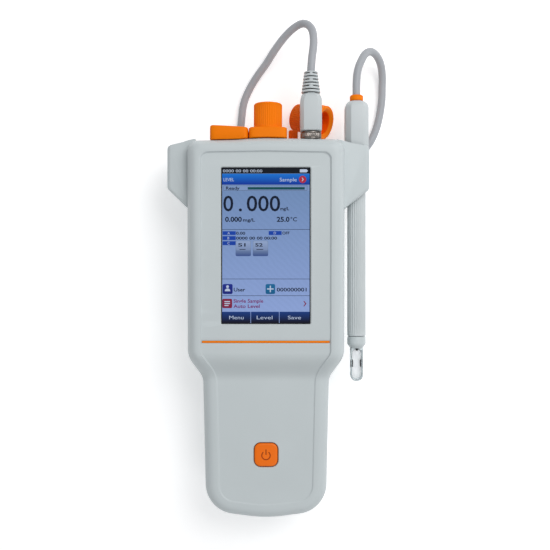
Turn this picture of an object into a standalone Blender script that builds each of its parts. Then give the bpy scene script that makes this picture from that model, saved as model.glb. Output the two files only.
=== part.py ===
"""Handheld conductivity meter with its stored measuring probe.

The meter lies on its back. +Z is up and out of the screen, +Y runs towards the sockets.
Every size and place in this file is in millimetres; the helpers scale them to metres.
"""
import math

import bmesh
import bpy
from mathutils import Matrix, Vector

MM = 0.001

# ---- driving dimensions -------------------------------------------------------------
CASE_X = -1.6                # case centreline, left of the middle of the two probe holders
HEAD_HALF = 48.75            # half width of the screen end
GRIP_HALF = 39.4             # half width at the top of the handle
GRIP_END_HALF = 37.5         # half width at the foot of the handle
HEAD_TOP_Y = 102.8
HEAD_CROWN_Y = 103.7
SHOULDER_Y = -32.0
NECK_Y = -45.5
GRIP_CORNER_Y = -128.6
GRIP_END_Y = -133.6
SEAM_Z = 30.0                # joint plane between front and rear shells
HEAD_FRONT_Z = 52.0
GRIP_FRONT_Z = 43.0
HEAD_BACK_Z = 12.5
GRIP_BACK_Z = 5.0
SLOPE_Y = (-47.0, -29.0)     # stretch where the handle steps up to the head
WALL = 2.2
RIM = 9.4                    # width of the rounded rim around the sunk front panel
SINK = 1.2                   # depth of the sunk front panel
GAP = 0.3                    # clearance kept between touching pieces

SCREEN_Y = 36.4              # centre of the display
SCREEN_W, SCREEN_L = 53.9, 95.0
STRIP_Y = -22.3
BUTTON_Y = -92.7
BUTTON_SIZE = 14.8
BUTTON_ROUND = 3.5

SOCKET_Z = 36.0              # height of the three sockets in the end wall
END_WALL_Y = 104.0           # plane the rubber caps and the plug nut stop at
PLUG_X = 28.1
KNOB_X = 1.6
DATA_X = -22.9
CAP_HINGE_Z = 25.6
CAP_BASE_LEN = 5.9           # thickness of a rubber cap's base
CAP_KNOB_LEN = 15.9
CAP_KNOB_R = 8.9

PROBE_X, PROBE_Z = 57.6, 27.0
SHAFT_R = 5.9
SLEEVE_R = 6.3
SEAT_Y = 96.4                # where the probe's handle sits on its holder
HANDLE_HALF = 7.4
PROBE_TIP_Y = -49.2
LEFT_X, LEFT_SLEEVE_R = -55.35, 4.9
RIGHT_OUT, LEFT_OUT = 64.9, -61.7
HOLDER_Z = (17.5, 37.5)

CABLE_R = 2.5
COIL_CENTRE = (0.0, 38.0)
COIL_R = 28.0                # middle of the coil's turns
COIL_HALF = 5.3              # half the radial depth of the coil
COIL_TOP_Z = 10.3

# ---- scene and helpers --------------------------------------------------------------
for old in list(bpy.data.objects):
    bpy.data.objects.remove(old, do_unlink=True)


def make_empty(name, place, parent=None):
    """An empty that carries a group of pieces."""
    empty = bpy.data.objects.new(name, None)
    bpy.context.scene.collection.objects.link(empty)
    empty.location = Vector(place) * MM
    empty.parent = parent
    return empty


METER = make_empty("meter_group", (CASE_X, 0, 0))
MATERIALS = {}


def material(name, rgb, rough=0.5, metal=0.0, alpha=1.0):
    """A Principled material, made once for each name."""
    if name in MATERIALS:
        return MATERIALS[name]
    mat = bpy.data.materials.new(name)
    mat.use_nodes = True
    shader = mat.node_tree.nodes["Principled BSDF"]
    shader.inputs["Base Color"].default_value = (*rgb, 1.0)
    shader.inputs["Roughness"].default_value = rough
    shader.inputs["Metallic"].default_value = metal
    shader.inputs["Alpha"].default_value = alpha
    mat.diffuse_color = (*rgb, alpha)
    MATERIALS[name] = mat
    return mat


CASE_GREY = ("case_plastic", (0.52, 0.57, 0.59), 0.5)
CAP_ORANGE = ("cap_rubber", (0.95, 0.24, 0.01), 0.6)
BUTTON_ORANGE = ("button_orange", (0.88, 0.15, 0.01), 0.4)
CABLE_GREY = ("cable_grey", (0.42, 0.44, 0.48), 0.45)
PLUG_GREY = ("plug_grey", (0.50, 0.54, 0.56), 0.5)
BLACK_RUBBER = ("black_rubber", (0.03, 0.03, 0.03), 0.7)
METAL = ("nickel", (0.62, 0.60, 0.57), 0.3, 1.0)
GLASS = ("screen_glass", (0.05, 0.08, 0.2), 0.08)
BOARD = ("board_green", (0.02, 0.16, 0.07), 0.5)
CELL = ("cell_jacket", (0.05, 0.06, 0.07), 0.35)
PROBE_GREY = ("probe_plastic", (0.56, 0.60, 0.61), 0.4)
CLEAR = ("clear_plastic", (0.85, 0.88, 0.9), 0.05, 0.0, 0.35)
ELECTRODE = ("electrode_black", (0.01, 0.01, 0.012), 0.75)


def add_mesh(name, bm, finish, origin=(0, 0, 0), parent=METER, smooth=35.0):
    """Turn a mesh built in millimetres into an object whose origin is at `origin`."""
    bmesh.ops.remove_doubles(bm, verts=bm.verts, dist=1e-4)
    bmesh.ops.recalc_face_normals(bm, faces=bm.faces)
    bmesh.ops.translate(bm, verts=bm.verts, vec=-Vector(origin))
    bmesh.ops.scale(bm, verts=bm.verts, vec=(MM, MM, MM))
    mesh = bpy.data.meshes.new(name)
    bm.to_mesh(mesh)
    bm.free()
    mesh.shade_smooth()
    mesh.set_sharp_from_angle(angle=math.radians(smooth))
    mesh.materials.append(material(*finish))
    obj = bpy.data.objects.new(name, mesh)
    bpy.context.scene.collection.objects.link(obj)
    obj.parent = parent
    obj.location = Vector(origin) * MM
    return obj


def box_mesh(x, y, z, bevel=0.0, segments=2):
    """A box between three pairs of limits, with its edges rounded."""
    bm = bmesh.new()
    size = (x[1] - x[0], y[1] - y[0], z[1] - z[0])
    middle = ((x[0] + x[1]) / 2, (y[0] + y[1]) / 2, (z[0] + z[1]) / 2)
    bmesh.ops.create_cube(bm, size=1.0, matrix=Matrix.Translation(middle) @ Matrix.Diagonal((*size, 1)))
    if bevel:
        bmesh.ops.bevel(bm, geom=bm.edges[:], offset=bevel, segments=segments, profile=0.5, affect='EDGES')
    return bm


def turned_mesh(profile, centre, axis='Y', sides=24):
    """Turn (radius, height) points about an axis through `centre`.

    A profile that starts and ends on the axis makes a solid; any other is closed into a ring.
    """
    bm = bmesh.new()
    frames = {'X': (Vector((0, 1, 0)), Vector((0, 0, 1)), Vector((1, 0, 0))),
              'Y': (Vector((0, 0, 1)), Vector((1, 0, 0)), Vector((0, 1, 0))),
              'Z': (Vector((1, 0, 0)), Vector((0, 1, 0)), Vector((0, 0, 1)))}
    across, up, along = frames[axis]
    start = Vector(centre)
    rings = []
    for radius, height in profile:
        if radius == 0:
            rings.append([bm.verts.new(start + along * height)])
            continue
        ring = []
        for i in range(sides):
            turn = 2 * math.pi * i / sides
            ring.append(bm.verts.new(start + along * height
                                     + across * radius * math.cos(turn) + up * radius * math.sin(turn)))
        rings.append(ring)
    pairs = list(zip(rings, rings[1:]))
    if len(rings[0]) > 1:
        pairs.append((rings[-1], rings[0]))
    for low, high in pairs:
        for i in range(sides):
            j = (i + 1) % sides
            corners = [low[i % len(low)], low[j % len(low)], high[j % len(high)], high[i % len(high)]]
            distinct = list(dict.fromkeys(corners))
            if len(distinct) > 2:
                bm.faces.new(distinct)
    return bm


def loft_mesh(rings, closed_ends=True):
    """Skin a list of rings that all have the same number of points."""
    bm = bmesh.new()
    loops = [[bm.verts.new(point) for point in ring] for ring in rings]
    count = len(loops[0])
    for low, high in zip(loops, loops[1:]):
        for i in range(count):
            bm.faces.new((low[i], low[(i + 1) % count], high[(i + 1) % count], high[i]))
    if closed_ends:
        bm.faces.new(loops[0])
        bm.faces.new(loops[-1])
    return bm


def fillet(corners, arcs):
    """Round the corners of a closed outline: corners are (x, y, radius), arcs their segments."""
    points = []
    count = len(corners)
    for i, (x, y, radius) in enumerate(corners):
        here = Vector((x, y))
        before = (Vector(corners[i - 1][:2]) - here).normalized()
        after = (Vector(corners[(i + 1) % count][:2]) - here).normalized()
        half = before.angle(after) / 2
        if radius <= 0 or math.pi / 2 - half < 0.002:
            points.append(here)
            continue
        reach = radius / math.tan(half)
        middle = here + (before + after).normalized() * (radius / math.sin(half))
        first = here + before * reach - middle
        last = here + after * reach - middle
        begin = math.atan2(first.y, first.x)
        turn = (math.atan2(last.y, last.x) - begin + math.pi) % (2 * math.pi) - math.pi
        for k in range(arcs[i] + 1):
            angle = begin + turn * k / arcs[i]
            points.append(middle + radius * Vector((math.cos(angle), math.sin(angle))))
    return points


def prism_mesh(outline, low, high, bevel=0.0):
    """Stand a closed plan outline up between two heights, its top and bottom edges bevelled."""
    def ring(points, height):
        return [Vector((p.x, p.y, height)) for p in points]

    if not bevel:
        return loft_mesh([ring(outline, low), ring(outline, high)])
    middle = sum(outline, Vector((0, 0))) / len(outline)
    drawn = [p + (middle - p).normalized() * bevel for p in outline]
    return loft_mesh([ring(drawn, low), ring(outline, low + bevel),
                      ring(outline, high - bevel), ring(drawn, high)])


def rounded_square(centre, half, radius, segments=4):
    """Outline of a square with rounded corners."""
    x, y = centre
    corners = [(x - half, y + half, radius), (x + half, y + half, radius),
               (x + half, y - half, radius), (x - half, y - half, radius)]
    return fillet(corners, [segments] * 4)


def cut(obj, bm, label):
    """Take a shape, built in millimetres, away from an object."""
    mesh = bpy.data.meshes.new(label)
    bmesh.ops.recalc_face_normals(bm, faces=bm.faces)
    bmesh.ops.scale(bm, verts=bm.verts, vec=(MM, MM, MM))
    bm.to_mesh(mesh)
    bm.free()
    cutter = bpy.data.objects.new(label, mesh)
    bpy.context.scene.collection.objects.link(cutter)
    cutter.parent = METER
    cutter.hide_render = True
    cutter.display_type = 'WIRE'
    cutter.hide_set(True)
    step = obj.modifiers.new(label, 'BOOLEAN')
    step.operation = 'DIFFERENCE'
    step.solver = 'EXACT'
    step.object = cutter
    return cutter


# ---- case shells --------------------------------------------------------------------
# Corners of the case's plan from the top middle down the right side: x, y, radius, segments.
CASE_CORNERS = [
    (0.0, HEAD_CROWN_Y, 160.0, 2),
    (HEAD_HALF, HEAD_TOP_Y, 7.0, 5),
    (HEAD_HALF - 0.3, SHOULDER_Y, 16.0, 5),
    (GRIP_HALF, NECK_Y, 12.0, 4),
    (GRIP_END_HALF, GRIP_CORNER_Y, 19.0, 7),
    (0.0, GRIP_END_Y, 90.0, 4),
]


def offset_corners(corners, inset):
    """Move every edge of a closed clockwise outline inwards and keep its roundings."""
    moved = []
    count = len(corners)
    for i, (x, y, radius, segments) in enumerate(corners):
        here = Vector((x, y))
        before = (here - Vector(corners[i - 1][:2])).normalized()
        after = (Vector(corners[(i + 1) % count][:2]) - here).normalized()
        normal_a = Vector((before.y, -before.x))
        normal_b = Vector((after.y, -after.x))
        bisector = (normal_a + normal_b).normalized()
        spot = here + bisector * (inset / bisector.dot(normal_a))
        convex = before.x * after.y - before.y * after.x < 0
        new_radius = max(radius - inset, 1.2) if convex else radius + inset
        moved.append((spot.x, spot.y, new_radius, segments))
    return moved


def case_outline(inset):
    """The case's plan outline, from the top middle clockwise, drawn in by `inset`."""
    mirrored = [(-x, y, r, n) for x, y, r, n in reversed(CASE_CORNERS[1:-1])]
    corners = offset_corners(CASE_CORNERS + mirrored, inset)
    points = fillet([c[:3] for c in corners], [c[3] for c in corners])
    start = CASE_CORNERS[0][3] // 2
    return points[start:] + points[:start]


def step_height(y, head, grip):
    """Height that eases from the handle's value to the head's along the slope."""
    t = min(max((y - SLOPE_Y[0]) / (SLOPE_Y[1] - SLOPE_Y[0]), 0.0), 1.0)
    return grip + (head - grip) * t * t * (3 - 2 * t)


def shell_mesh(levels, head, grip, seam):
    """A dished shell from (inset, share of the height, drop) levels with strip end faces."""
    bm = bmesh.new()
    loops = []
    for inset, share, drop in levels:
        ring = []
        for point in case_outline(inset):
            height = seam + share * (step_height(point.y, head, grip) - seam) - drop
            ring.append(bm.verts.new((point.x, point.y, height)))
        loops.append(ring)
    count = len(loops[0])
    for low, high in zip(loops, loops[1:]):
        for i in range(count):
            bm.faces.new((low[i], low[(i + 1) % count], high[(i + 1) % count], high[i]))
    for ring in (loops[0], loops[-1]):
        for i in range(count // 2):
            strip = [ring[i], ring[i + 1], ring[-i - 1], ring[-i % count]]
            bm.faces.new(list(dict.fromkeys(strip)))
    return bm


FRONT_SEAM = SEAM_Z + GAP / 2
REAR_SEAM = SEAM_Z - GAP / 2
CAVITY = WALL + 0.2


def build_front_shell():
    """Upper case half: rounded rim, sunk panel, screen window, button and socket holes."""
    levels = [(RIM + 0.6, 1.0, SINK), (RIM, 1.0, SINK), (RIM - 0.8, 1.0, 0.0), (6.2, 1.0, 0.0),
              (3.4, 0.96, 0.0), (1.3, 0.86, 0.0), (0.2, 0.68, 0.0), (0.0, 0.0, 0.0),
              (WALL, 0.0, 0.0), (CAVITY, 0.62, 0.0), (6.0, 1.0, 3.9)]
    shell = add_mesh("front_shell", shell_mesh(levels, HEAD_FRONT_Z, GRIP_FRONT_Z, FRONT_SEAM), CASE_GREY)
    half_w, half_l = SCREEN_W / 2 + 0.6, SCREEN_L / 2 + 0.6
    above = (GRIP_FRONT_Z - 8.0, HEAD_FRONT_Z + 4.0)
    cut(shell, box_mesh((-half_w, half_w), (SCREEN_Y - half_l, SCREEN_Y + half_l), above), "window_cut")
    panel = HEAD_FRONT_Z - SINK
    reach = HEAD_HALF - RIM - 0.7
    groove = box_mesh((-reach, reach), (STRIP_Y - 0.8, STRIP_Y + 0.8), (panel - 0.9, panel + 3.0))
    cut(shell, groove, "strip_cut")
    hole = rounded_square((0, BUTTON_Y), BUTTON_SIZE / 2 + 0.35, BUTTON_ROUND + 0.35)
    cut(shell, prism_mesh(hole, *above), "button_cut")
    for x, radius, label in ((PLUG_X, 5.5, "plug_hole"), (KNOB_X, 5.5, "knob_hole")):
        profile = [(0, -20), (radius, -20), (radius, 20), (0, 20)]
        cut(shell, turned_mesh(profile, (x, HEAD_CROWN_Y, SOCKET_Z), sides=20), label)
    slot = box_mesh((DATA_X - 5.0, DATA_X + 5.0), (90, 120), (SOCKET_Z - 2.2, SOCKET_Z + 2.2))
    cut(shell, slot, "data_hole")
    return shell


def build_rear_shell():
    """Lower case half with the battery hatch opening in the back of the handle."""
    levels = [(8.0, 1.0, 0.0), (4.4, 0.93, 0.0), (1.6, 0.72, 0.0), (0.3, 0.4, 0.0), (0.0, 0.0, 0.0),
              (WALL, 0.0, 0.0), (CAVITY, 0.4, 0.0), (6.6, 1.0, -2.3)]
    shell = add_mesh("rear_shell", shell_mesh(levels, HEAD_BACK_Z, GRIP_BACK_Z, REAR_SEAM), CASE_GREY)
    hatch = box_mesh((-HATCH_HALF, HATCH_HALF), HATCH_Y, (0, GRIP_BACK_Z + 6.0))
    cut(shell, hatch, "hatch_cut")
    for i, (x, y) in enumerate(SCREWS):
        floor = step_height(y, HEAD_BACK_Z, GRIP_BACK_Z)
        well = turned_mesh([(0, -4), (3.3, -4), (3.3, 1.4), (0, 1.4)], (x, y, floor), 'Z', 16)
        cut(shell, well, f"screw_well_{i + 1}")
    return shell


HATCH_HALF = 19.0
HATCH_Y = (-118.0, -58.0)
SCREWS = [(side * 37.0, y) for y in (72.0, -14.0) for side in (-1, 1)]
SCREWS += [(side * 27.0, -62.0) for side in (-1, 1)]
FEET = [(side * 34.0, 93.0, 5.5, HEAD_BACK_Z) for side in (-1, 1)]
FEET += [(side * 26.0, -112.0, 4.5, GRIP_BACK_Z) for side in (-1, 1)]


def build_case_fittings():
    """Feet, case screws, seam gasket, battery hatch, cells and their spring plates."""
    names = ("foot_head_left", "foot_head_right", "foot_grip_left", "foot_grip_right")
    for name, (x, y, radius, top) in zip(names, FEET):
        profile = [(0, 0), (radius - 0.9, 0), (radius, 0.9), (radius, top - GAP), (0, top - GAP)]
        add_mesh(name, turned_mesh(profile, (x, y, 0), 'Z', 18), BLACK_RUBBER)
    for i, (x, y) in enumerate(SCREWS):
        floor = step_height(y, HEAD_BACK_Z, GRIP_BACK_Z) + GAP
        profile = [(0, 0.5), (1.2, 0.5), (1.6, 0), (2.8, 0.3), (2.8, 0.9), (0, 0.9)]
        add_mesh(f"case_screw_{i + 1}", turned_mesh(profile, (x, y, floor), 'Z', 12), METAL)
    outer = [Vector((p.x, p.y, 0)) for p in case_outline(CAVITY + 0.5)]
    inner = [Vector((p.x, p.y, 0)) for p in case_outline(CAVITY + 1.9)]
    low, high = Vector((0, 0, SEAM_Z - 0.6)), Vector((0, 0, SEAM_Z + 0.6))
    rings = [[p + low for p in outer], [p + high for p in outer],
             [p + high for p in inner], [p + low for p in inner], [p + low for p in outer]]
    add_mesh("seam_gasket", loft_mesh(rings, closed_ends=False), BLACK_RUBBER)
    half = HATCH_HALF - GAP
    y_low, y_high = HATCH_Y[0] + GAP, HATCH_Y[1] - GAP
    hatch = box_mesh((-half, half), (y_low, y_high), (GRIP_BACK_Z, GRIP_BACK_Z + 1.8))
    add_mesh("battery_hatch", hatch, CASE_GREY, origin=(0, y_high, GRIP_BACK_Z))
    for row in range(2):
        for column in (-1, 1):
            name = f"battery_cell_{row * 2 + (column + 3) // 2}"
            centre = (column * 7.4, -113.0, 15.0 + row * 14.8)
            profile = [(0, 0), (6.2, 0), (7.0, 0.8), (7.0, 47.6), (6.2, 48.3), (2.7, 48.3),
                       (2.7, 49.5), (0, 49.5)]
            add_mesh(name, turned_mesh(profile, centre, 'Y', 16), CELL)
    for y, name in ((-115.2, "contact_plate_lower"), (-62.4, "contact_plate_upper")):
        add_mesh(name, box_mesh((-14.5, 14.5), (y, y + 0.8), (8.6, 36.6)), METAL)


def build_electronics():
    """Touch panel, display, boards, switch and buzzer inside the case."""
    panel = HEAD_FRONT_Z - SINK
    half_w, half_l = SCREEN_W / 2 + 0.3, SCREEN_L / 2 + 0.3
    glass = box_mesh((-half_w, half_w), (SCREEN_Y - half_l, SCREEN_Y + half_l),
                     (panel - 1.5, panel - 0.3), 0.2, 1)
    add_mesh("touch_glass", glass, GLASS)
    add_mesh("display_module", box_mesh((-28.5, 28.5), (SCREEN_Y - 51, SCREEN_Y + 51),
                                        (panel - 6.4, panel - 3.3)), METAL)
    add_mesh("main_board", box_mesh((-40, 40), (-18, 87), (40.6, 42.2)), BOARD)
    add_mesh("button_board", box_mesh((-12, 12), (BUTTON_Y - 12, BUTTON_Y + 12), (37.2, 38.0)), BOARD)
    outline = rounded_square((0, BUTTON_Y), BUTTON_SIZE / 2, BUTTON_ROUND)
    button = prism_mesh(outline, GRIP_FRONT_Z - 2.6, GRIP_FRONT_Z - 0.2, 0.7)
    add_mesh("power_button", button, BUTTON_ORANGE, origin=(0, BUTTON_Y, GRIP_FRONT_Z - 2.6))
    dome = [(0, 0), (2.6, 0), (2.6, 0.5), (1.4, 0.9), (0, 0.9)]
    add_mesh("button_dome", turned_mesh(dome, (0, BUTTON_Y, 38.0 + GAP), 'Z', 14), METAL)
    buzzer = turned_mesh([(0, 0), (6, 0), (6, 4.5), (0, 4.5)], (-24, -2, 35.6), 'Z', 16)
    add_mesh("buzzer", buzzer, BLACK_RUBBER)
    reach = HEAD_HALF - RIM - 1.0
    strip = box_mesh((-reach, reach), (STRIP_Y - 0.6, STRIP_Y + 0.6), (panel - 0.6, panel + 0.1))
    add_mesh("accent_strip", strip, CAP_ORANGE)


# ---- probe holders ------------------------------------------------------------------
def build_holder(name, outer_x, sleeve_x, sleeve_r, pocket):
    """A moulded sleeve on the case's side: slanted ends, a bore along Y, an open-backed seat."""
    side = math.copysign(1, outer_x)
    inner = side * (HEAD_HALF + GAP + 0.1)
    corners = [(inner, 102.8, 0.6), (outer_x, 97.2, 2.5), (outer_x, 71.4, 2.0), (inner, 59.2, 0.6)]
    if side < 0:
        corners.reverse()
    outline = fillet(corners, [1, 4, 3, 1])
    low, high = HOLDER_Z
    edge = 2.4

    def ring(draw, z):
        return [Vector((p.x - side * draw * (abs(p.x) > HEAD_HALF + 3), p.y, z)) for p in outline]

    rings = [ring(edge, low), ring(edge * 0.3, low + edge * 0.3), ring(0, low + edge),
             ring(0, high - edge), ring(edge * 0.3, high - edge * 0.3), ring(edge, high)]
    holder = add_mesh(name, loft_mesh(rings), CASE_GREY)
    bore = turned_mesh([(0, 40), (sleeve_r, 40), (sleeve_r, 120), (0, 120)], (sleeve_x, 0, PROBE_Z), 'Y', 24)
    cut(holder, bore, name + "_bore")
    if pocket:
        seat = box_mesh((PROBE_X - HANDLE_HALF - 0.4, PROBE_X + 20), (SEAT_Y - 0.4, 120), (0, PROBE_Z + 8.0))
        cut(holder, seat, name + "_seat")
    return holder


# ---- rubber caps and sockets --------------------------------------------------------
CAP_HALF = 11.9              # half width of a cap's base block
CAP_HALF_Z = 10.2
CAP_HOLLOW_R = 7.2
CAP_SIDES = 28
CAP_SQUARENESS = 0.28        # exponent of the base block's rounded-square outline
CAP_HINGE_Y = END_WALL_Y + 2.6    # the living hinge runs through the base block's thickness


def block_cap_mesh(centre, knob):
    """A closed rubber cap pointing along +Y: base block, hollow, and a tall knob if asked."""
    angles = [2 * math.pi * i / CAP_SIDES for i in range(CAP_SIDES)]
    middle = Vector(centre)

    def squared(value):
        return math.copysign(abs(value) ** CAP_SQUARENESS, value)

    def block_ring(y, scale=1.0):
        return [middle + Vector((CAP_HALF * scale * squared(math.cos(a)), y,
                                 CAP_HALF_Z * scale * squared(math.sin(a)))) for a in angles]

    def round_ring(radius, y):
        return [middle + Vector((radius * math.cos(a), y, radius * math.sin(a))) for a in angles]

    base = [block_ring(0), block_ring(CAP_BASE_LEN - 0.8), block_ring(CAP_BASE_LEN, 0.94)]
    if not knob:
        hollow = [block_ring(CAP_BASE_LEN - 2.6, 0.8), block_ring(0, 0.8)]
        return loft_mesh(hollow + base)
    top = CAP_BASE_LEN + CAP_KNOB_LEN
    hollow = [round_ring(CAP_HOLLOW_R, top - 2.4), round_ring(CAP_HOLLOW_R, 0)]
    stem = [round_ring(CAP_KNOB_R, CAP_BASE_LEN), round_ring(CAP_KNOB_R, top - 1.0),
            round_ring(CAP_KNOB_R - 1.0, top)]
    return loft_mesh(hollow + base + stem)


FLIP_MOUTH = Vector((38.4, 116.8, 19.4))      # middle of the open cap's mouth
FLIP_AXIS = Vector((-0.83, 0.26, -0.49)).normalized()
FLIP_BASE_R = 11.0
FLIP_HINGE = (17.5, 113.0, 18.5)


def build_caps():
    """Two closed caps, the opened cap lying behind the plug, and the strip that holds them."""
    for name, x, knob in (("flat_cap", DATA_X, False), ("knob_cap", KNOB_X - 0.4, True)):
        bm = block_cap_mesh((x, END_WALL_Y, SOCKET_Z), knob)
        add_mesh(name, bm, CAP_ORANGE, origin=(x, CAP_HINGE_Y, CAP_HINGE_Z))
    tether = box_mesh((-34.6, 20.6), (END_WALL_Y, END_WALL_Y + 1.8), (21.6, 25.2), 0.4, 1)
    add_mesh("cap_tether", tether, CAP_ORANGE)
    length = 23.0
    base = 6.4
    profile = [(0, length - 2.4), (CAP_HOLLOW_R, length - 2.4), (CAP_HOLLOW_R, 0), (FLIP_BASE_R - 0.6, 0),
               (FLIP_BASE_R, 0.6), (FLIP_BASE_R, base), (CAP_KNOB_R, base + 0.4), (CAP_KNOB_R, length - 1.0),
               (CAP_KNOB_R - 1.0, length), (0, length)]
    bm = turned_mesh(profile, (0, 0, 0), 'Z', 28)
    aim = Vector((0, 0, 1)).rotation_difference(FLIP_AXIS).to_matrix().to_4x4()
    bmesh.ops.transform(bm, matrix=Matrix.Translation(FLIP_MOUTH) @ aim, verts=bm.verts)
    add_mesh("flip_cap", bm, CAP_ORANGE, origin=FLIP_HINGE)
    strap = box_mesh((14.4, 20.4), (END_WALL_Y, 112.4), (17.4, 19.6), 0.5, 1)
    add_mesh("flip_cap_strap", strap, CAP_ORANGE)


def build_sockets():
    """The three sockets in the end wall."""
    plug = (PLUG_X, 0, SOCKET_Z)
    profile = [(0, 88.2), (4.7, 88.2), (4.7, 97.0), (5.1, 97.0), (5.1, 99.4), (5.0, 99.4), (5.0, 107.2),
               (3.5, 107.2), (3.5, 98.6), (0, 98.6)]
    add_mesh("probe_socket", turned_mesh(profile, plug, 'Y', 22), METAL)
    knob = (KNOB_X, 0, SOCKET_Z)
    profile = [(0, 88.2), (4.7, 88.2), (4.7, 97.8), (5.1, 97.8), (5.1, 100.2), (4.8, 100.2), (4.8, 113.2),
               (3.5, 113.2), (3.5, 102.2), (0, 102.2)]
    add_mesh("sensor_socket", turned_mesh(profile, knob, 'Y', 22), METAL)
    data = box_mesh((DATA_X - 4.5, DATA_X + 4.5), (93.2, 102.8), (SOCKET_Z - 1.7, SOCKET_Z + 1.7), 0.8, 2)
    add_mesh("data_socket", data, METAL)


# ---- plug and cable -----------------------------------------------------------------
PLUG_START_Y = 103.4
BOOT_Y = (108.4, 132.4)
RELIEF_END_Y = 145.8


def build_plug():
    """Coupling nut, contact insert, moulded boot and tapered strain relief."""
    nut = [(5.4, PLUG_START_Y), (6.2, PLUG_START_Y), (6.6, 103.8), (6.6, 107.6), (6.2, 108.0), (5.4, 108.0)]
    bm = turned_mesh(nut, (PLUG_X, 0, SOCKET_Z), 'Y', 24)
    add_mesh("plug_nut", bm, METAL, origin=(PLUG_X, PLUG_START_Y, SOCKET_Z))
    insert = [(0, 99.2), (3.1, 99.2), (3.1, BOOT_Y[0] - GAP), (0, BOOT_Y[0] - GAP)]
    add_mesh("plug_insert", turned_mesh(insert, (PLUG_X, 0, SOCKET_Z), 'Y', 16), BLACK_RUBBER)
    outline = rounded_square((0, 0), 6.7, 2.4, 4)

    def ring(y, scale):
        return [Vector((PLUG_X + p.x * scale, y, SOCKET_Z + p.y * scale)) for p in outline]

    rings = [ring(BOOT_Y[0], 0.95), ring(BOOT_Y[0] + 0.5, 1.0), ring(BOOT_Y[1] - 5.0, 1.0),
             ring(BOOT_Y[1] - 1.6, 0.96), ring(BOOT_Y[1], 0.88)]
    add_mesh("plug_boot", loft_mesh(rings), PLUG_GREY)
    cone = [(0, BOOT_Y[1] + GAP), (6.0, BOOT_Y[1] + GAP), (4.3, RELIEF_END_Y), (0, RELIEF_END_Y)]
    add_mesh("strain_relief", turned_mesh(cone, (PLUG_X, 0, SOCKET_Z), 'Y', 20), PLUG_GREY)


LOOP_Z = CABLE_R + 0.1       # height of a cable's centreline where it lies on the ground
# Free stretch from the strain relief, over and down to the ground, then under the case.
PLUG_ROUTE = [
    (28.1, 146.1, 36.0), (28.8, 155.0, 35.6), (29.9, 164.0, 33.8), (29.6, 172.4, 30.6), (27.3, 177.8, 27.0),
    (23.0, 180.2, 23.2), (17.3, 178.0, 19.6), (11.0, 172.8, 15.4), (4.9, 165.6, 11.2), (-0.2, 158.4, 7.4),
    (-6.1, 151.0, 4.6), (-11.3, 142.8, 3.0), (-15.2, 133.4, LOOP_Z), (-16.8, 122.0, LOOP_Z),
    (-18.2, 108.0, LOOP_Z), (-21.4, 92.0, LOOP_Z), (-27.0, 75.4, LOOP_Z), (-30.6, 57.6, LOOP_Z),
]
# From the coil, under the right-hand holder, to the ground beside the probe's handle.
FLOOR_ROUTE = [
    (30.6, 57.6, LOOP_Z), (32.2, 68.4, LOOP_Z), (37.4, 78.2, LOOP_Z), (45.6, 86.4, LOOP_Z),
    (54.8, 93.2, LOOP_Z), (63.0, 99.8, LOOP_Z), (69.0, 107.0, LOOP_Z), (73.0, 115.6, LOOP_Z),
    (75.4, 124.8, 2.8), (76.7, 134.0, 3.5),
]
# The loop that rises off the ground and turns back into the top of the probe.
PROBE_ROUTE = [
    (76.8, 134.9, 3.6), (77.0, 142.4, 3.8), (77.0, 149.9, 5.0), (75.7, 157.0, 8.2), (72.6, 162.0, 12.4),
    (68.2, 163.9, 16.8), (64.0, 161.4, 21.0), (60.8, 155.7, 24.6), (58.4, 149.0, 26.5), (57.6, 141.2, 27.0),
    (57.6, 133.5, 27.0),
]
ROUTE_STEP = 8.0            # spacing of the points along a tube


def smooth_route(points, step):
    """Points at even steps along a Catmull-Rom curve through the given ones."""
    knots = [Vector(p) for p in points]
    knots = [2 * knots[0] - knots[1]] + knots + [2 * knots[-1] - knots[-2]]
    fine = []
    for a, b, c, d in zip(knots, knots[1:], knots[2:], knots[3:]):
        for k in range(24):
            t = k / 24
            fine.append(0.5 * (2 * b + (c - a) * t + (2 * a - 5 * b + 4 * c - d) * t ** 2
                               + (3 * b - a - 3 * c + d) * t ** 3))
    fine.append(knots[-2])
    run = [0.0]
    for a, b in zip(fine, fine[1:]):
        run.append(run[-1] + (b - a).length)
    count = max(2, round(run[-1] / step))
    evened = []
    at = 0
    for k in range(count + 1):
        want = run[-1] * k / count
        while at < len(run) - 2 and run[at + 1] < want:
            at += 1
        share = (want - run[at]) / (run[at + 1] - run[at])
        evened.append(fine[at].lerp(fine[at + 1], share))
    return evened


def add_cable(name, route):
    """A round tube along a route, as a curve with filled ends."""
    curve = bpy.data.curves.new(name, 'CURVE')
    curve.dimensions = '3D'
    curve.bevel_depth = CABLE_R * MM
    curve.bevel_resolution = 2
    curve.use_fill_caps = True
    points = smooth_route(route, ROUTE_STEP)
    spline = curve.splines.new('POLY')
    spline.points.add(len(points) - 1)
    for spot, point in zip(spline.points, points):
        spot.co = (*(point * MM), 1.0)
    curve.materials.append(material(*CABLE_GREY))
    obj = bpy.data.objects.new(name, curve)
    bpy.context.scene.collection.objects.link(obj)
    obj.parent = METER
    return obj


def build_cable():
    """The free stretches of the cable and the coil that its spare length is wound into."""
    add_cable("cable_plug_side", PLUG_ROUTE)
    add_cable("cable_probe_side", FLOOR_ROUTE)
    add_cable("cable_probe_loop", PROBE_ROUTE)
    inner, outer = COIL_R - COIL_HALF, COIL_R + COIL_HALF
    ring = [(inner, 0.1), (outer, 0.1), (outer, COIL_TOP_Z), (inner, COIL_TOP_Z)]
    add_mesh("cable_coil", turned_mesh(ring, (*COIL_CENTRE, 0), 'Z', 32), CABLE_GREY)


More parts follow.
